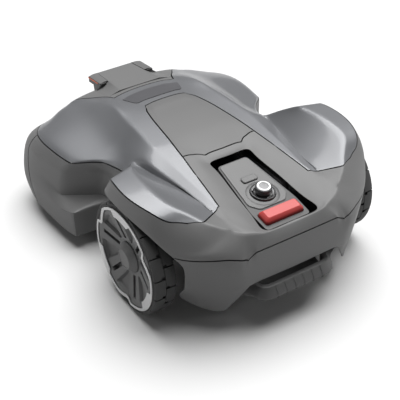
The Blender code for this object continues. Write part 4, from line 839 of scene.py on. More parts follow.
    def mark(self) -> None:
        """Writes the sharp corners and lines into the cage as crease weights."""
        layer = self.bm.verts.layers.float.new("crease_vert")
        for vert in self.bm.verts:
            if any((vert.co - corner).length < NEAR for corner in self.corners):
                vert[layer] = Fold.HARD.value
        layer = self.bm.edges.layers.float.new("crease_edge")
        for line, fold in self.creases:
            for p, q in zip(line, line[1:]):
                for edge in self.bm.edges:
                    a, b = (v.co for v in edge.verts)
                    if min((a - p).length + (b - q).length, (a - q).length + (b - p).length) < NEAR:
                        edge[layer] = fold.value

    def surface(self) -> bpy.types.Mesh:
        """Smooths the cage of both halves, and draws it back to the cage points.

        Returns:
            The surface, with the panel of each face as its material index.
        """
        bm = self.bm
        bmesh.ops.remove_doubles(bm, verts=bm.verts, dist=WELD)
        bmesh.ops.delete(bm, geom=[v for v in bm.verts if not v.link_faces], context="VERTS")
        self.mark()
        bmesh.ops.recalc_face_normals(bm, faces=bm.faces)
        inside = Vector(self.inside)
        if sum(f.normal.dot(f.calc_center_median() - inside) for f in bm.faces) < 0:
            bmesh.ops.reverse_faces(bm, faces=bm.faces)
        mesh = bpy.data.meshes.new("shell_cage")
        bm.to_mesh(mesh)
        bm.free()
        cage = bpy.data.objects.new("shell_cage", mesh)
        bpy.context.scene.collection.objects.link(cage)
        for name in self.names:
            mesh.materials.append(bpy.data.materials.new(f"cage_{name}"))
        mirror = cage.modifiers.new("mirror", "MIRROR")
        mirror.merge_threshold = NEAR
        mirror.use_clip = True
        smooth = cage.modifiers.new("smooth", "SUBSURF")
        smooth.levels = smooth.render_levels = self.levels
        aims = [v.co.copy() for v in mesh.vertices]
        for _ in range(self.rounds):
            for vert, aim, now in zip(mesh.vertices, aims, evaluated(cage).vertices):
                vert.co += (aim - now.co) * self.pull
            mesh.update()
        made = evaluated(cage)
        bpy.data.objects.remove(cage)
        return made

    @staticmethod
    def edge_use(polygons: Iterable[bpy.types.MeshPolygon]) -> dict[tuple[int, int], int]:
        """Counts the faces at each edge.

        Args:
            polygons: Faces to count.

        Returns:
            The number of faces for each edge, as its pair of vertex numbers.
        """
        use: dict[tuple[int, int], int] = {}
        for polygon in polygons:
            for key in polygon.edge_keys:
                use[key] = use.get(key, 0) + 1
        return use

    def panel(self, name: str, mesh: bpy.types.Mesh, normals: Sequence[Vector],
              polygons: Sequence[bpy.types.MeshPolygon],
              owners: dict[tuple[int, int], int]) -> bpy.types.Object:
        """A closed panel from part of the surface, drawn in from its seams and given its wall.

        Args:
            name: Name of the panel.
            mesh: The smoothed surface.
            normals: Normals of its vertices.
            polygons: Faces of the surface that belong to the panel.
            owners: Number of faces at each edge of the surface.

        Returns:
            The panel, with its back and its walls in the seams as material 1: black, painted shade.
        """
        bm = bmesh.new()
        outer: dict[int, bmesh.types.BMVert] = {}
        for polygon in polygons:
            for index in polygon.vertices:
                if index not in outer:
                    outer[index] = bm.verts.new(mesh.vertices[index].co)
            bm.faces.new([outer[index] for index in polygon.vertices])
        border = [key for key, count in self.edge_use(polygons).items() if count == 1]
        seams = {key for key in border if owners[key] == 2}
        deep = {outer[index] for key in seams for index in key}
        moves = {}
        for vert in bm.verts:
            rim = [e for e in vert.link_edges if e.is_boundary]
            if rim:
                inner = [e for e in vert.link_edges if not e.is_boundary] or rim
                inwards = sum(((e.other_vert(vert).co - vert.co).normalized() for e in inner), Vector())
                moves[vert] = inwards.normalized() * self.seam / 2
        for vert, move in moves.items():
            vert.co += move
        back = {}
        for index, vert in outer.items():
            depth = self.flange if vert in deep else self.skin
            back[vert] = bm.verts.new(vert.co - normals[index] * depth)
        # The back and the walls in the seams take material 1: black, painted shade.
        for face in list(bm.faces):
            bm.faces.new([back[v] for v in reversed(face.verts)]).material_index = 1
        for key in border:
            a, b = (outer[index] for index in key)
            bm.faces.new((a, b, back[b], back[a])).material_index = int(key in seams)
        return new_object(name, bm)


@dataclass
class DriveWheel:
    """One drive wheel: block tread, spoked rim, light trim ring, hub cap and axle.

    Its pieces are made about a local Z axis that points out, with the tyre's inner face at 0.

    Attributes:
        hand: "left" or "right".
        side: Sign of X on that side.
        radius: Radius over the tread.
        width: Width of the tyre.
        wall: Height of the side wall, from the rim to the tread.
        groove: Depth of the tread grooves.
        outer_x: Distance of the trim's outer face from the middle of the mower.
        axle_y: Place of the axle along the mower.
        blocks: Tread blocks in one row.
        block_shares: Columns of a tread block, as shares of the pitch.
        spokes: Number of spokes.
        spoke_turn: Angle of the first spoke, in degrees.
        spoke_lines: Half widths of a spoke's lines, each as (at the hub, at the seat).
        slot: Inner and outer radius of the slot in a spoke.
        slot_depth: Depth of that slot.
        pocket: Inner and outer radius of the pockets between the spokes.
        pocket_depth: Depth of a pocket.
        dish: How far the hub lies inside the plane of the trim ring.
        dish_radius: Radius at which the face starts to fall to the hub.
        dish_run: Length of that fall.
        trim_height: Thickness of the trim ring.
        trim_inner: Inner outline of one tab of the trim ring, as (angle in degrees, radius).
        trim_outer: Its outer outline, in the same way.
        gap: Gap between two pieces that sit together.
    """

    hand: str
    side: int
    radius: float = 0.115
    width: float = 0.048
    wall: float = 0.012
    groove: float = 0.0045
    outer_x: float = 0.263
    axle_y: float = -0.142
    blocks: int = 16
    block_shares: tuple[float, ...] = (0.0, 0.10, 0.40, 0.70, 0.945)
    spokes: int = 6
    spoke_turn: float = 20.0
    spoke_lines: tuple[Flat, ...] = ((0.0, 0.0), (0.0040, 0.0040), (0.0046, 0.0046), (0.0140, 0.0240),
                                     (0.0165, 0.0290))
    slot: Flat = (0.0405, 0.0835)
    slot_depth: float = 0.011
    pocket: Flat = (0.044, 0.087)
    pocket_depth: float = 0.0060
    dish: float = 0.0135
    dish_radius: float = 0.0965
    dish_run: float = 0.058
    trim_height: float = 0.0023
    trim_inner: tuple[Flat, ...] = ((0, 0.0875), (18, 0.0885), (22, 0.1000), (42, 0.1000), (62, 0.0870),
                                    (68, 0.0885), (72, 0.0985), (103, 0.0995), (108, 0.0875), (120, 0.0875))
    trim_outer: tuple[Flat, ...] = ((0, 0.1055), (46, 0.1055), (63, 0.0935), (67, 0.0955), (71, 0.1035),
                                    (120, 0.1055))
    gap: float = 0.0003

    def __post_init__(self) -> None:
        """Works out where the wheel goes and the radius of its seat."""
        inner_x = self.outer_x - self.trim_height - self.width
        centre = Matrix.Translation((self.side * inner_x, self.axle_y, self.radius))
        self.place = centre @ Matrix.Rotation(self.side * math.pi / 2, 4, "Y")
        self.body = f"drive_wheel_{self.hand}"
        self.bore = self.radius - self.wall

    def build(self) -> None:
        """Builds the pieces in place of the CAD ones."""
        self.tyre()
        self.tread()
        self.rim()
        self.trim()
        self.cap()
        self.shaft()

    def tyre(self) -> None:
        """Carcass with a rounded side wall."""
        floor, width, bead = self.radius - self.groove, self.width, self.bore + 0.004
        carcass = lathe(f"tyre_{self.hand}_carcass", [
            (self.bore, 0.001), (bead, 0.0), (floor - 0.002, 0.001), (floor, 0.005),
            (floor, width - 0.005), (floor - 0.002, width - 0.001), (bead, width),
            (self.bore, width - 0.001)], self.place)
        settle(carcass, self.body, TREAD, [f"tyre_{self.hand}"])

    def tread(self) -> None:
        """Two staggered rows of tread blocks, one from each shoulder to the middle."""
        bm = bmesh.new()
        pitch = 2 * math.pi / self.blocks
        turns = [pitch * share for share in self.block_shares]
        inset, middle_gap = 0.0015, 0.0004
        for row, (edge, step) in enumerate(((inset, 1), (self.width - inset, -1))):
            rows = [edge, edge + step * 0.004, edge + step * 0.015, self.width / 2 - step * middle_gap]
            for number in range(self.blocks):
                start = pitch * (number + 0.5 * row)
                self.block(bm, [start + turn for turn in turns], rows)
        bm.transform(self.place)
        settle(new_object(f"tyre_{self.hand}_blocks", bm), self.body, TREAD, edges=Rounding(0.0007))

    def block(self, bm: bmesh.types.BMesh, turns: Sequence[float], rows: Sequence[float]) -> None:
        """Adds one tread block with a hooked inner corner.

        Args:
            bm: Mesh that takes the block.
            turns: Angles of its columns.
            rows: Heights of its rows, from the shoulder to the middle of the tread.
        """
        root = self.radius - 0.007
        tops = [self.radius - 0.0022, self.radius - 0.0002, self.radius, self.radius]
        grid = [[bm.verts.new((top * math.cos(turn), top * math.sin(turn), row)) for turn in turns]
                for row, top in zip(rows, tops)]
        hook = (len(rows) - 2, 0)
        made = bmesh.ops.extrude_face_region(bm, geom=quads(bm, grid, [hook]))
        for vert in new_verts(made):
            shrink = root / math.hypot(vert.co.x, vert.co.y)
            vert.co.x *= shrink
            vert.co.y *= shrink
        bmesh.ops.delete(bm, geom=[v for v in bm.verts if not v.link_faces], context="VERTS")

    def rim(self) -> None:
        """Face with raised spokes, a slot in each spoke and sunk pockets between them; the slots' faces are
        black, painted shade.
        """
        seat, rim_edge, back = self.bore - self.gap, 0.001, 0.004
        radii = [0.014, 0.028, 0.036, self.slot[0] - rim_edge, self.slot[0], self.pocket[0], 0.0800,
                 self.slot[1], self.slot[1] + rim_edge, self.pocket[1], 0.091, self.dish_radius, seat]
        bm = bmesh.new()
        grid: list[list[bmesh.types.BMVert]] = []
        deep = set()
        for radius in radii:
            ring = []
            share = (radius - radii[0]) / (seat - radii[0])
            half = [math.asin(min(a + (b - a) * share, MOST_SPOKE * radius) / radius)
                    for a, b in self.spoke_lines]
            sector = [*[-turn for turn in reversed(half[1:])], *half, math.pi / self.spokes]
            for spoke in range(self.spokes):
                middle = 2 * math.pi * spoke / self.spokes + math.radians(self.spoke_turn)
                for turn, column in zip(sector, (4, 3, 2, 1, 0, 1, 2, 3, 4, 5)):
                    x, y = radius * math.cos(middle + turn), radius * math.sin(middle + turn)
                    sunk, slotted = self.relief(radius, column)
                    vert = bm.verts.new((x, y, self.width - sunk))
                    if slotted:
                        deep.add(vert)
                    ring.append(vert)
            grid.append(ring)
        # Faces that touch a slot take material 1: black, painted shade in the slot.
        for low, high in zip(grid, grid[1:]):
            for k in range(len(low)):
                after = (k + 1) % len(low)
                corners = (low[k], high[k], high[after], low[after])
                bm.faces.new(corners).material_index = int(any(v in deep for v in corners))
        self.close(bm, grid[0], grid[-1], back)
        bm.transform(self.place)
        obj = new_object(f"rim_{self.hand}_spokes", bm)
        settle(obj, self.body, BODY, [f"rim_{self.hand}"], Rounding(0.0006, angle=30.0), smooth=25.0)
        obj.data.materials.append(BLACK.material())

    def relief(self, radius: float, column: int) -> tuple[float, bool]:
        """How far the rim's face lies inside the tyre's outer face.

        Args:
            radius: Distance from the axle.
            column: Line of the spoke, from 0 in its middle to 5 midway to the next spoke.

        Returns:
            The depth, and whether the place is in the slot, whose faces are painted black as shade.
        """
        depth = self.dish * min(1.0, max(0.0, (self.dish_radius - radius) / self.dish_run))
        if column <= 1 and self.slot[0] <= radius <= self.slot[1]:
            return depth + self.slot_depth, True
        if column >= 4 and self.pocket[0] <= radius <= self.pocket[1]:
            return depth + self.pocket_depth, False
        if radius > self.dish_radius:
            return depth + 0.0015, False
        return depth, False

    @staticmethod
    def close(bm: bmesh.types.BMesh, inner: Verts, outer: Verts, low: float) -> None:
        """Closes a ring-shaped sheet with walls down to a flat back.

        Args:
            bm: Mesh of the sheet.
            inner: Points of its inner border.
            outer: Points of its outer border.
            low: Height of the back.
        """
        foot, toe = ([bm.verts.new((v.co.x, v.co.y, low)) for v in border] for border in (inner, outer))
        band(bm, inner, foot)
        band(bm, toe, outer)
        band(bm, foot, toe)

    @staticmethod
    def radius_at(line: Sequence[Flat], turn: float) -> float:
        """Radius of a trim outline at an angle, which repeats for every tab.

        Args:
            line: Outline as (angle in degrees, radius).
            turn: Angle in degrees.

        Returns:
            The radius.
        """
        turn %= TAB_SPAN
        (a, low), (b, high) = next(pair for pair in zip(line, line[1:]) if pair[0][0] <= turn <= pair[1][0])
        return low + (high - low) * (turn - a) / (b - a)

    def trim(self) -> None:
        """Light ring with three wide tabs, drawn in by a step between them."""
        lines = (self.trim_inner, self.trim_outer)
        corners = {corner % TAB_SPAN + tab for line in lines for corner, _ in line
                   for tab in range(0, 360, TAB_SPAN)}
        turns = sorted(corners | set(range(0, 360, 4)))
        bm = bmesh.new()
        rings = []
        for line in lines:
            ring = []
            for turn in turns:
                radius, angle = self.radius_at(line, turn), math.radians(turn)
                place = (radius * math.cos(angle), radius * math.sin(angle), self.width + self.trim_height)
                ring.append(bm.verts.new(place))
            rings.append(ring)
        band(bm, *rings)
        self.close(bm, *rings, self.width + self.gap)
        bm.transform(self.place)
        obj = new_object(f"wheel_trim_{self.hand}_ring", bm)
        settle(obj, self.body, SILVER, [f"wheel_trim_{self.hand}"], Rounding(0.0007))

    def cap(self) -> None:
        """Hub cap: a cone with a bare, slightly dished top."""
        low = self.width - self.dish + self.gap
        profile = ((0.0, 0.0), (0.032, 0.0), (0.0315, 0.0025), (0.0215, 0.0125), (0.0200, 0.0140),
                   (0.0180, 0.0140), (0.0170, 0.0132), (0.0, 0.0128))
        cap = lathe(f"hub_cap_{self.hand}_cone", [(r, low + z) for r, z in profile], self.place)
        settle(cap, self.body, BODY, [f"hub_cap_{self.hand}"], Rounding(0.0006), smooth=25.0)

    def shaft(self) -> None:
        """Axle with chamfered ends, as far as the hub cap allows."""
        start, end = -0.030, self.width - self.dish - 0.0005
        radius, chamfer = 0.008, 0.0008
        shaft = lathe(f"axle_{self.hand}_shaft", [
            (0.0, start), (radius - chamfer, start), (radius, start + chamfer), (radius, end - chamfer),
            (radius - chamfer, end), (0.0, end)], self.place, 48)
        settle(shaft, self.body, STEEL, [f"axle_{self.hand}"], Rounding(0.0003), smooth=30.0)


@dataclass
class Console:
    """Control console in the recess of the rear cover: deck, shield panel, tag, dial and stop button.

    Places along the deck are measured from its middle to the front, and heights from its upper face.

    Attributes:
        origin: Middle of the deck on its upper face.
        tilt: Angle of the deck, rising to the front, in degrees.
        deck_half: Right half of the deck's outline, from the front to the back.
        deck_depth: Thickness of the deck.
        shield_half: Right half of the shield panel's outline.
        joint_half: Right half of the dark joint round it.
        tag_half: Half sides of the tag.
        tag_v: Place of the tag along the deck.
        tag_edge: Width of the tag's black edge.
        dial_v: Place of the dial along the deck.
        dial_z: Height of the knob's underside.
        lugs: Number of lugs in the dial's collar.
        lug_turn: Angle of the first lug, in radians.
        stop_v: Place of the stop button along the deck.
        stop_half: Half sides of the stop button.
        stop_gap: Gap between the stop button and its well.
    """

    origin: Point = (0.0, -0.2085, 0.2163)
    tilt: float = 7.7
    deck_half: tuple[Flat, ...] = ((0.0345, 0.089), (0.0515, -0.050), (0.0500, -0.100))
    deck_depth: float = 0.030
    shield_half: tuple[Flat, ...] = ((0.0315, 0.0855), (0.0440, -0.030), (0.0290, -0.0490))
    joint_half: tuple[Flat, ...] = ((0.0327, 0.0867), (0.0453, -0.0305), (0.0296, -0.0503))
    tag_half: Flat = (0.0170, 0.0078)
    tag_v: float = 0.0300
    tag_edge: float = 0.0013
    dial_v: float = -0.015
    dial_z: float = 0.0086
    lugs: int = 3
    lug_turn: float = 0.45
    stop_v: float = -0.0735
    stop_half: Flat = (0.043, 0.0155)
    stop_gap: float = 0.0012

    def __post_init__(self) -> None:
        """Works out where the deck and the dial on it go."""
        self.place = Matrix.Translation(self.origin) @ Matrix.Rotation(math.radians(self.tilt), 4, "X")
        self.seat = self.place @ Matrix.Translation((0.0, self.dial_v, 0.0))

    def build(self) -> None:
        """Builds the pieces in place of the CAD ones."""
        self.deck()
        self.panel()
        self.tag()
        self.dial()
        self.stop()

    def deck(self) -> None:
        """Deck with the well of the stop button."""
        outline = rounded(mirrored(self.deck_half), 0.008)
        half_x, half_v = (side + self.stop_gap for side in self.stop_half)
        well = rounded(oblong(half_x, half_v, self.stop_v), 0.006)
        deck = plate("control_console_deck", [outline, well], -self.deck_depth, 0.0, self.place)
        settle(deck, "chassis", DECK, ["control_console"], Rounding(0.0008))

    def panel(self) -> None:
        """Shield panel in its dark joint, with the raised ring and the notched collar of the dial."""
        joint, shield = (rounded(mirrored(half), 0.006) for half in (self.joint_half, self.shield_half))
        settle(plate("control_panel_joint", [joint], 0.0001, 0.0006, self.place), "chassis", BLACK)
        face = plate("control_panel_shield", [shield], 0.0003, 0.0018, self.place)
        settle(face, "chassis", PANEL, ["control_panel"], Rounding(0.0004))
        cone = lathe("control_panel_dial_ring", [
            (0.0250, 0.0010), (0.0335, 0.0010), (0.0330, 0.0020), (0.0270, 0.0042), (0.0255, 0.0040)],
            self.seat)
        settle(cone, "chassis", PANEL, edges=Rounding(0.0004))
        collar = lathe("control_panel_collar", [
            (0.0180, 0.0010), (0.0252, 0.0010), (0.0252, 0.0068), (0.0240, 0.0082), (0.0228, 0.0082),
            (0.0216, 0.0068), (0.0180, 0.0060)], self.seat)
        settle(collar, "chassis", GLOSS_BLACK, edges=Rounding(0.0005))
        outline = [(0.0188, -0.0035), (0.0226, -0.0042), (0.0226, 0.0042), (0.0188, 0.0035)]
        for number in range(self.lugs):
            turn = Matrix.Rotation(2 * math.pi * number / self.lugs + self.lug_turn, 4, "Z")
            lug = prism(f"control_panel_lug_{number + 1}", outline, 0.0060, 0.0096, self.seat @ turn)
            settle(lug, "chassis", GLOSS_BLACK, edges=Rounding(0.0007))

    def tag(self) -> None:
        """Black pill with a bare grey face."""
        outer = rounded(oblong(*self.tag_half, self.tag_v), 0.0055)
        edge = plate("panel_tag_edge", [outer], 0.0017, 0.0040, self.place)
        settle(edge, "chassis", BLACK, ["panel_tag"], Rounding(0.0006))
        half_x, half_v = (side - self.tag_edge for side in self.tag_half)
        inner = rounded(oblong(half_x, half_v, self.tag_v), 0.0045)
        face = plate("panel_tag_face", [inner], 0.0036, 0.0044, self.place)
        settle(face, "chassis", PANEL, edges=Rounding(0.0003))

    def dial(self) -> None:
        """Knob with a grooved side and a light ring in its top."""
        body = ((0.0, 0.0), (0.0160, 0.0), (0.0165, 0.0006), (0.0165, 0.0040), (0.0160, 0.0046),
                (0.0160, 0.0054), (0.0165, 0.0060), (0.0162, 0.0102), (0.0145, 0.0118), (0.0133, 0.0120),
                (0.0, 0.0112))
        knob = lathe("dial_knob_body", [(r, self.dial_z + z) for r, z in body], self.seat)
        settle(knob, "dial", KNOB, ["dial_knob"], Rounding(0.0003))
        light = ((0.0098, 0.0110), (0.0130, 0.0112), (0.0130, 0.0124), (0.0124, 0.0127), (0.0102, 0.0127),
                 (0.0098, 0.0122))
        settle(lathe("dial_knob_ring", [(r, self.dial_z + z) for r, z in light], self.seat), "dial", WHITE)

    def stop(self) -> None:
        """Bevelled stop button, bare."""
        half_x, half_v = self.stop_half
        loops = []
        for height, inset, radius in ((-0.0030, 0.0, 0.0055), (0.0045, 0.0, 0.0055), (0.0062, 0.0006, 0.0055),
                                      (0.0112, 0.0052, 0.0045), (0.0122, 0.0066, 0.0040)):
            outline = rounded(oblong(half_x - inset, half_v - inset * 0.85, self.stop_v), radius)
            loops.append([self.place @ Vector((x, v, height)) for x, v in outline])
        button = loft("stop_button_bar", loops)
        settle(button, "stop", STOP_RED, ["stop_button"], Rounding(0.0004), smooth=25.0)


@dataclass
class Antenna:
    """Antenna block on the front of the shell with its side clips, and the bare name plate behind it.

    Attributes:
        rear_y: Where the block rises from its base.
        front_y: Front end of the block.
        clip_y: Rear end of the clips.
        base_y: Where the base ends under the block.
        top_z: Height of the block at its rear.
        drop: How far its top falls to the front.
        depth: Height of the block in front of its base.
        neck_half: Half width of the flat top at its rear.
        taper: How much narrower that half is at the front.
        foot: Half width of the flanks where they meet the base.
        sweep: Power of the curve of the flanks.
        reach: Half width over the clips.
        plate_y: Rear edge of the name plate.
        plate_length: Length of the name plate.
        plate_half: Half width of the name plate at its rear.
        plate_flare: How much wider that half is at the front.
        plate_corner: Rounding of the name plate's corners.
        plate_bow: How far the front edge bows out.
    """

    rear_y: float = 0.2345
    front_y: float = 0.352
    clip_y: float = 0.295
    base_y: float = 0.326
    top_z: float = 0.2318
    drop: float = 0.0148
    depth: float = 0.016
    neck_half: float = 0.0500
    taper: float = 0.0065
    foot: float = 0.080
    sweep: float = 2.2
    reach: float = 0.066
    plate_y: float = 0.1515
    plate_length: float = 0.0420
    plate_half: float = 0.0555
    plate_flare: float = 0.0140
    plate_corner: float = 0.0080
    plate_bow: float = 0.006

    def build(self) -> None:
        """Builds the pieces in place of the CAD ones."""
        bpy.context.view_layer.update()
        self.base = bpy.data.objects["antenna_base_panel"]
        self.block()
        for hand, side in HANDS:
            self.clip(hand, side)
        self.name_plate()

    def roof(self, y: float) -> float:
        """Height of the flat top."""
        return self.top_z - self.drop * (y - self.rear_y) / (self.front_y - self.rear_y)

    def neck(self, y: float) -> float:
        """Half width of the flat top."""
        return self.neck_half - self.taper * (y - self.rear_y) / (self.front_y - self.rear_y)

    def underside(self, x: float, y: float) -> float:
        """Height of the block's underside, a little inside its base and level in front of it."""
        return height_over(self.base, x, y) - 0.0006 if y <= self.base_y else self.roof(y) - self.depth

    def upper(self, x: float, y: float) -> float:
        """Height of the block's upper side.

        Args:
            x: Place across the mower.
            y: Place along the mower.

        Returns:
            The height: flat in the middle, a ledge under the clips and a sweep down to the base behind them.
        """
        flat, neck = self.roof(y), self.neck(y)
        if abs(x) <= neck + NEAR:
            return max(flat, self.underside(x, y) + 0.0008)
        if y >= self.clip_y:
            return flat - 0.0052
        share = (abs(x) - neck) / (self.foot - neck)
        ground = self.underside(x, y) + 0.0007
        return ground + max(0.0, flat - ground) * (1 - share) ** self.sweep

    def block(self) -> None:
        """Block whose flanks sweep down into the base behind the clips and drop as walls under them."""
        rows = []
        behind = [*spread(self.rear_y, self.clip_y - 0.0012, 12), self.clip_y]
        under = spread(self.clip_y + 0.004, self.base_y, 5)
        for y in [*behind, *under, self.base_y + 0.005, self.front_y - 0.004, self.front_y]:
            neck = self.neck(y)
            wide = self.foot if y < self.clip_y else self.reach
            flank = [neck + (wide - neck) * share for share in (0.02, 0.15, 0.32, 0.52, 0.75, 1.0)]
            half = [*spread(0.0, neck, 5), *flank]
            rows.append([*[(-x, y) for x in reversed(half[1:])], *[(x, y) for x in half]])
        block = sheet("antenna_block_hood", rows, self.underside, self.upper)
        settle(block, "shell", BODY, ["antenna_block"], Rounding(0.0010, segments=3, angle=45.0), smooth=40.0)

    def clip(self, hand: str, side: int) -> None:
        """One side clip: a folded plate with a dark rear end and a coloured line under its outer edge.

        Args:
            hand: "left" or "right".
            side: Sign of X on that side.
        """
        loops = []
        for y in (self.clip_y + 0.0006, self.clip_y + 0.004, self.front_y - 0.003, self.front_y):
            flat, neck = self.roof(y), self.neck(y) + 0.0009
            end = 0.0012 if y == self.front_y else 0.0
            section = ((neck, flat - 0.0048), (neck, flat + 0.0004 - end), (0.0565, flat + 0.0012 - end),
                       (self.reach + 0.001, flat - 0.0012 - end), (self.reach + 0.001, flat - 0.0046))
            loops.append([(side * x, y + 0.18 * max(0.0, 0.055 - x), z) for x, z in section])
        folded = loft(f"antenna_clip_{hand}_plate", loops)
        settle(folded, "shell", CLIP, [f"antenna_clip_{hand}"], Rounding(0.0006), smooth=20.0)
        section = ((0.053, -0.0056), (0.053, -0.0008), (self.reach, -0.0014), (self.reach, -0.0056))
        notch = loft(f"antenna_clip_{hand}_notch", [
            [(side * x, y, self.roof(y) + z) for x, z in section]
            for y in (self.clip_y - 0.0035, self.clip_y + 0.0008)])
        settle(notch, "shell", BLACK)
        section = ((0.0004, -0.0052), (0.0004, -0.0034), (0.0019, -0.0034), (0.0019, -0.0052))
        line = loft(f"clip_line_{hand}_strip", [
            [(side * (self.reach + x), y, self.roof(y) + z) for x, z in section]
            for y in (self.clip_y + 0.010, self.front_y - 0.001)])
        settle(line, "shell", ORANGE, [f"clip_line_{hand}"])

    def name_plate(self) -> None:
        """Bare plate that follows the painted top, in a thin dark joint."""
        top = bpy.data.objects["top_shell_panel"]
        for label, finish, grow, rise in (("joint", BLACK, 0.0009, 0.0005), ("face", PLATE, 0.0, 0.0010)):
            rows = []
            for share in (0.0, 0.02, 0.06, 0.14, 0.3, 0.5, 0.7, 0.86, 0.94, 0.98, 1.0):
                y = self.plate_y - grow + (self.plate_length + 2 * grow) * share
                near_edge = 1 - min(1.0, min(share, 1 - share) / 0.16)
                corner = self.plate_corner * (1 - math.sqrt(1 - near_edge ** 2))
                half = self.plate_half + self.plate_flare * share + grow - corner
                bow = self.plate_bow * share
                rows.append([(x, y + bow * (1 - (x / half) ** 2)) for x in spread(-half, half, 16)])
            made = sheet(f"name_plate_{label}", rows, lambda x, y: height_over(top, x, y) - 0.0005,
                         lambda x, y, up=rise: height_over(top, x, y) + up)
            settle(made, "shell", finish, ["name_plate"] if label == "face" else [])


@dataclass
class Handle:
    """Rear carry handle: a bar with a full, slanted face that curves back into the chassis at both ends.

    Attributes:
        low: Height of its underside.
        high: Height of its upper edge.
        bar_y: Middle line of the bar, along the mower.
        path_half: Right half of the bar's middle line in plan.
        ribs: Number of ribs that divide its face.
        rib_pitch: Distance between two ribs.
        rib_half: Half the thickness of a rib.
        rib_rise: How far a rib stands out of the face.
        tray_line: Section of the tray behind the bar, a near-black sheet of painted shade, as (place along
            the mower, height).
        tray_wall: Offset of the tray's underside from its upper side, in the same way.
        tray_half: Half width of the tray.
    """

    low: float = 0.0740
    high: float = 0.0995
    bar_y: float = -0.3405
    path_half: tuple[Flat, ...] = (
        (0.030, -0.3405), (0.055, -0.3403), (0.0665, -0.3392), (0.0735, -0.3362), (0.0775, -0.3310),
        (0.0800, -0.3240), (0.0860, -0.3130), (0.0980, -0.3010), (0.1180, -0.2890))
    ribs: int = 6
    rib_pitch: float = 0.021
    rib_half: float = 0.0008
    rib_rise: float = 0.0007
    tray_line: tuple[Flat, ...] = (
        (-0.3340, 0.0775), (-0.3200, 0.0765), (-0.3060, 0.0800), (-0.2960, 0.0900), (-0.2930, 0.1020))
    tray_wall: Flat = (0.0015, -0.0025)
    tray_half: float = 0.0745

    def build(self) -> None:
        """Builds the pieces in place of the CAD handle."""
        self.bar()
        for number in range(self.ribs):
            self.rib(number)
        self.tray()

    def section(self) -> list[Flat]:
        """Outline of the bar.

        Returns:
            Its corners as (distance out, height), from the lower inner one round the face.
        """
        return [(-0.0060, self.low), (0.0105, self.low - 0.0005), (0.0150, self.low + 0.0050),
                (0.0140, self.low + 0.0110), (0.0035, self.high - 0.0010), (0.0010, self.high),
                (-0.0060, self.high)]

    def bar(self) -> None:
        """The bar, from the left end to the right one."""
        left = [(-x, y) for x, y in reversed(self.path_half)]
        path = [*left, (0.0, self.bar_y), *self.path_half]
        loops = []
        for k, point in enumerate(path):
            before, after = Vector(path[max(k - 1, 0)]), Vector(path[min(k + 1, len(path) - 1)])
            along = (after - before).normalized()
            out = Vector((along.y, -along.x))
            loops.append([(point[0] + out.x * n, point[1] + out.y * n, z) for n, z in self.section()])
        bar = loft("carry_handle_bar", loops)
        settle(bar, "chassis", DARK, ["carry_handle"], Rounding(0.0012, segments=3, angle=35.0), smooth=30.0)

    def rib(self, number: int) -> None:
        """One rib on the face of the bar.

        Args:
            number: Number of the rib, from 0 at the left.
        """
        middle = (number - (self.ribs - 1) / 2) * self.rib_pitch
        face = [(self.bar_y - n - self.rib_rise, z) for n, z in self.section()[1:5]]
        root = (self.bar_y - 0.0025, self.low + 0.010)
        sides = (middle - self.rib_half, middle + self.rib_half)
        loops = [[(x, y, z) for y, z in (*face, root)] for x in sides]
        settle(loft(f"carry_handle_rib_{number + 1}", loops), "chassis", DARK)

    def tray(self) -> None:
        """Near-black tray behind the bar, painted shade that closes the view into the chassis."""
        step_y, step_z = self.tray_wall
        section = [*self.tray_line, *[(y + step_y, z + step_z) for y, z in reversed(self.tray_line)]]
        places = (-self.tray_half, -0.045, 0.0, 0.045, self.tray_half)
        # A sheet of painted shade: dark where the hand gap shows shadow.
        tray = loft("carry_handle_shade_tray", [[(x, y, z) for y, z in section] for x in places])
        settle(tray, "chassis", SHADE, edges=Rounding(0.0006), smooth=40.0)


@dataclass
class Undercarriage:
    """The working parts that keep their CAD shapes, with finished materials.

    Attributes:
        finishes: Finish for each start of a node's name; the longest start that fits counts.
    """

    finishes: dict[str, Finish] = field(default_factory=lambda: {
        "lower_chassis": BLACK, "upper_chassis": BLACK, "chassis_seal": SEAL, "battery_cover": BLACK,
        "battery_pack": WRAP, "main_board": BOARD, "drive_unit": SHADE, "caster_fork": DARK,
        "caster_axle": STEEL, "caster_wheel": TREAD, "caster_bush": BRASS, "cutting_motor": DARK,
        "height_spindle": STEEL, "height_motor": BLACK, "guide_rod": STEEL, "blade_disc": DARK,
        "blade_screw": STEEL, "blade": STEEL, "skid_plate": BLACK, "dial_plunger": STEEL,
        "suspension_frame": STEEL,
    })

    def build(self) -> None:
        """Dresses every CAD node; those that a piece stands for stay hidden."""
        for name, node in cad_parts.items():
            start = max((key for key in self.finishes if name.startswith(key)), key=len, default="")
            node.data.materials.clear()
            node.data.materials.append(self.finishes.get(start, DARK).material())
            if not node.hide_render:
                LOG.info("piece %s keeps its CAD shape", name)


@dataclass(frozen=True)
class Lamp:
    """One soft square lamp.

    Attributes:
        name: Name of the lamp.
        place: Its position.
        size: Side of the square.
        power: Power in watts.
    """

    name: str
    place: Point
    size: float
    power: float

    def add(self, aim: Point) -> None:
        """Adds the lamp to the scene.

        Args:
            aim: Point that it faces.
        """
        data = bpy.data.lights.new(self.name, "AREA")
        data.size = self.size
        data.energy = self.power
        obj = bpy.data.objects.new(self.name, data)
        obj.location = self.place
        obj.rotation_euler = (Vector(aim) - Vector(self.place)).to_track_quat("-Z", "Y").to_euler()
        bpy.context.scene.collection.objects.link(obj)


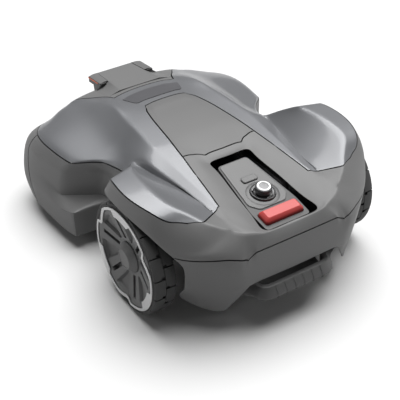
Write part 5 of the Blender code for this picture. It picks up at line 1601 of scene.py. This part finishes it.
@dataclass
class Stage:
    """Pale floor, soft studio light and the camera at the photograph's view.

    Attributes:
        place: Camera position.
        bearing: Direction of view from +Y towards +X, in degrees.
        tilt: Angle of view below the horizon, in degrees.
        lens: Focal length, in millimetres.
        sensor: Width of the sensor, in millimetres.
        floor_half: Half the side of the floor.
        floor_z: Height of the floor, a little below the wheels.
        floor_tone: Linear grey of the floor.
        floor_roughness: Roughness of the floor.
        ambient: Strength of the even light from all round.
        sky_from: Direction that the broad light from above comes from.
        sky_spread: Spread of that light, in degrees.
        sky_strength: Strength of that light.
        lamps: Soft lamps beside the mower.
        aim: Point that the lamps face.
    """

    place: Point = (-0.917, -1.408, 1.320)
    bearing: float = 33.2
    tilt: float = 36.88
    lens: float = 88.17
    sensor: float = 36.0
    floor_half: float = 6.0
    floor_z: float = -0.0005
    floor_tone: float = 0.51
    floor_roughness: float = 0.9
    ambient: float = 0.08
    sky_from: Point = (0.34, 0.34, 1.40)
    sky_spread: float = 62.0
    sky_strength: float = 6.6
    lamps: tuple[Lamp, ...] = (Lamp("right", (1.5, -1.1, 0.4), 1.0, 9.0),
                               Lamp("left", (-1.8, 0.7, 0.9), 1.2, 5.0))
    aim: Point = (0.0, 0.0, 0.12)

    def build(self) -> None:
        """Sets up the view, the floor and the lights."""
        scene = bpy.context.scene
        scene.view_settings.view_transform = "Standard"
        self.camera(scene)
        self.floor()
        self.world(scene)
        self.sky(scene)
        for lamp in self.lamps:
            lamp.add(self.aim)

    def camera(self, scene: bpy.types.Scene) -> None:
        """Adds the camera and makes it the scene's own.

        Args:
            scene: Scene that takes it.
        """
        data = bpy.data.cameras.new("photo_view")
        data.sensor_width = self.sensor
        data.lens = self.lens
        obj = bpy.data.objects.new("photo_view", data)
        obj.location = self.place
        a, e = math.radians(self.bearing), math.radians(self.tilt)
        look = Vector((math.sin(a) * math.cos(e), math.cos(a) * math.cos(e), -math.sin(e)))
        obj.rotation_euler = look.to_track_quat("-Z", "Y").to_euler()
        scene.collection.objects.link(obj)
        scene.camera = obj

    def floor(self) -> None:
        """Adds a plain pale floor that keeps the shadow."""
        bm = bmesh.new()
        bmesh.ops.create_grid(bm, x_segments=1, y_segments=1, size=self.floor_half)
        obj = new_object("floor", bm)
        obj.location.z = self.floor_z
        made = bpy.data.materials.new("pale_floor")
        made.use_nodes = True
        shader = made.node_tree.nodes["Principled BSDF"]
        shader.inputs["Base Color"].default_value = (self.floor_tone, self.floor_tone, self.floor_tone, 1.0)
        shader.inputs["Roughness"].default_value = self.floor_roughness
        obj.data.materials.append(made)

    def world(self, scene: bpy.types.Scene) -> None:
        """Lights the scene evenly and shows the camera white behind it.

        Args:
            scene: Scene that takes the world.
        """
        world = bpy.data.worlds.new("studio")
        world.use_nodes = True
        nodes, links = world.node_tree.nodes, world.node_tree.links
        soft = nodes["Background"]
        seen = nodes.new("ShaderNodeBackground")
        for node, strength in ((soft, self.ambient), (seen, 1.0)):
            node.inputs["Color"].default_value = (1.0, 1.0, 1.0, 1.0)
            node.inputs["Strength"].default_value = strength
        path = nodes.new("ShaderNodeLightPath")
        mix = nodes.new("ShaderNodeMixShader")
        links.new(path.outputs["Is Camera Ray"], mix.inputs["Fac"])
        links.new(soft.outputs[0], mix.inputs[1])
        links.new(seen.outputs[0], mix.inputs[2])
        links.new(mix.outputs[0], nodes["World Output"].inputs["Surface"])
        scene.world = world

    def sky(self, scene: bpy.types.Scene) -> None:
        """Adds one broad, even light from above.

        Args:
            scene: Scene that takes it.
        """
        data = bpy.data.lights.new("overhead", "SUN")
        data.angle = math.radians(self.sky_spread)
        data.energy = self.sky_strength
        obj = bpy.data.objects.new("overhead", data)
        obj.rotation_euler = Vector(self.sky_from).to_track_quat("Z", "Y").to_euler()
        scene.collection.objects.link(obj)


def main() -> None:
    """Builds the mower and its stage."""
    logging.basicConfig(level=logging.INFO, format="%(name)s: %(message)s")
    BodyShell().build()
    for hand, side in HANDS:
        DriveWheel(hand, side).build()
    Console().build()
    Antenna().build()
    Handle().build()
    Undercarriage().build()
    Stage().build()


if __name__ == "__main__":
    main()
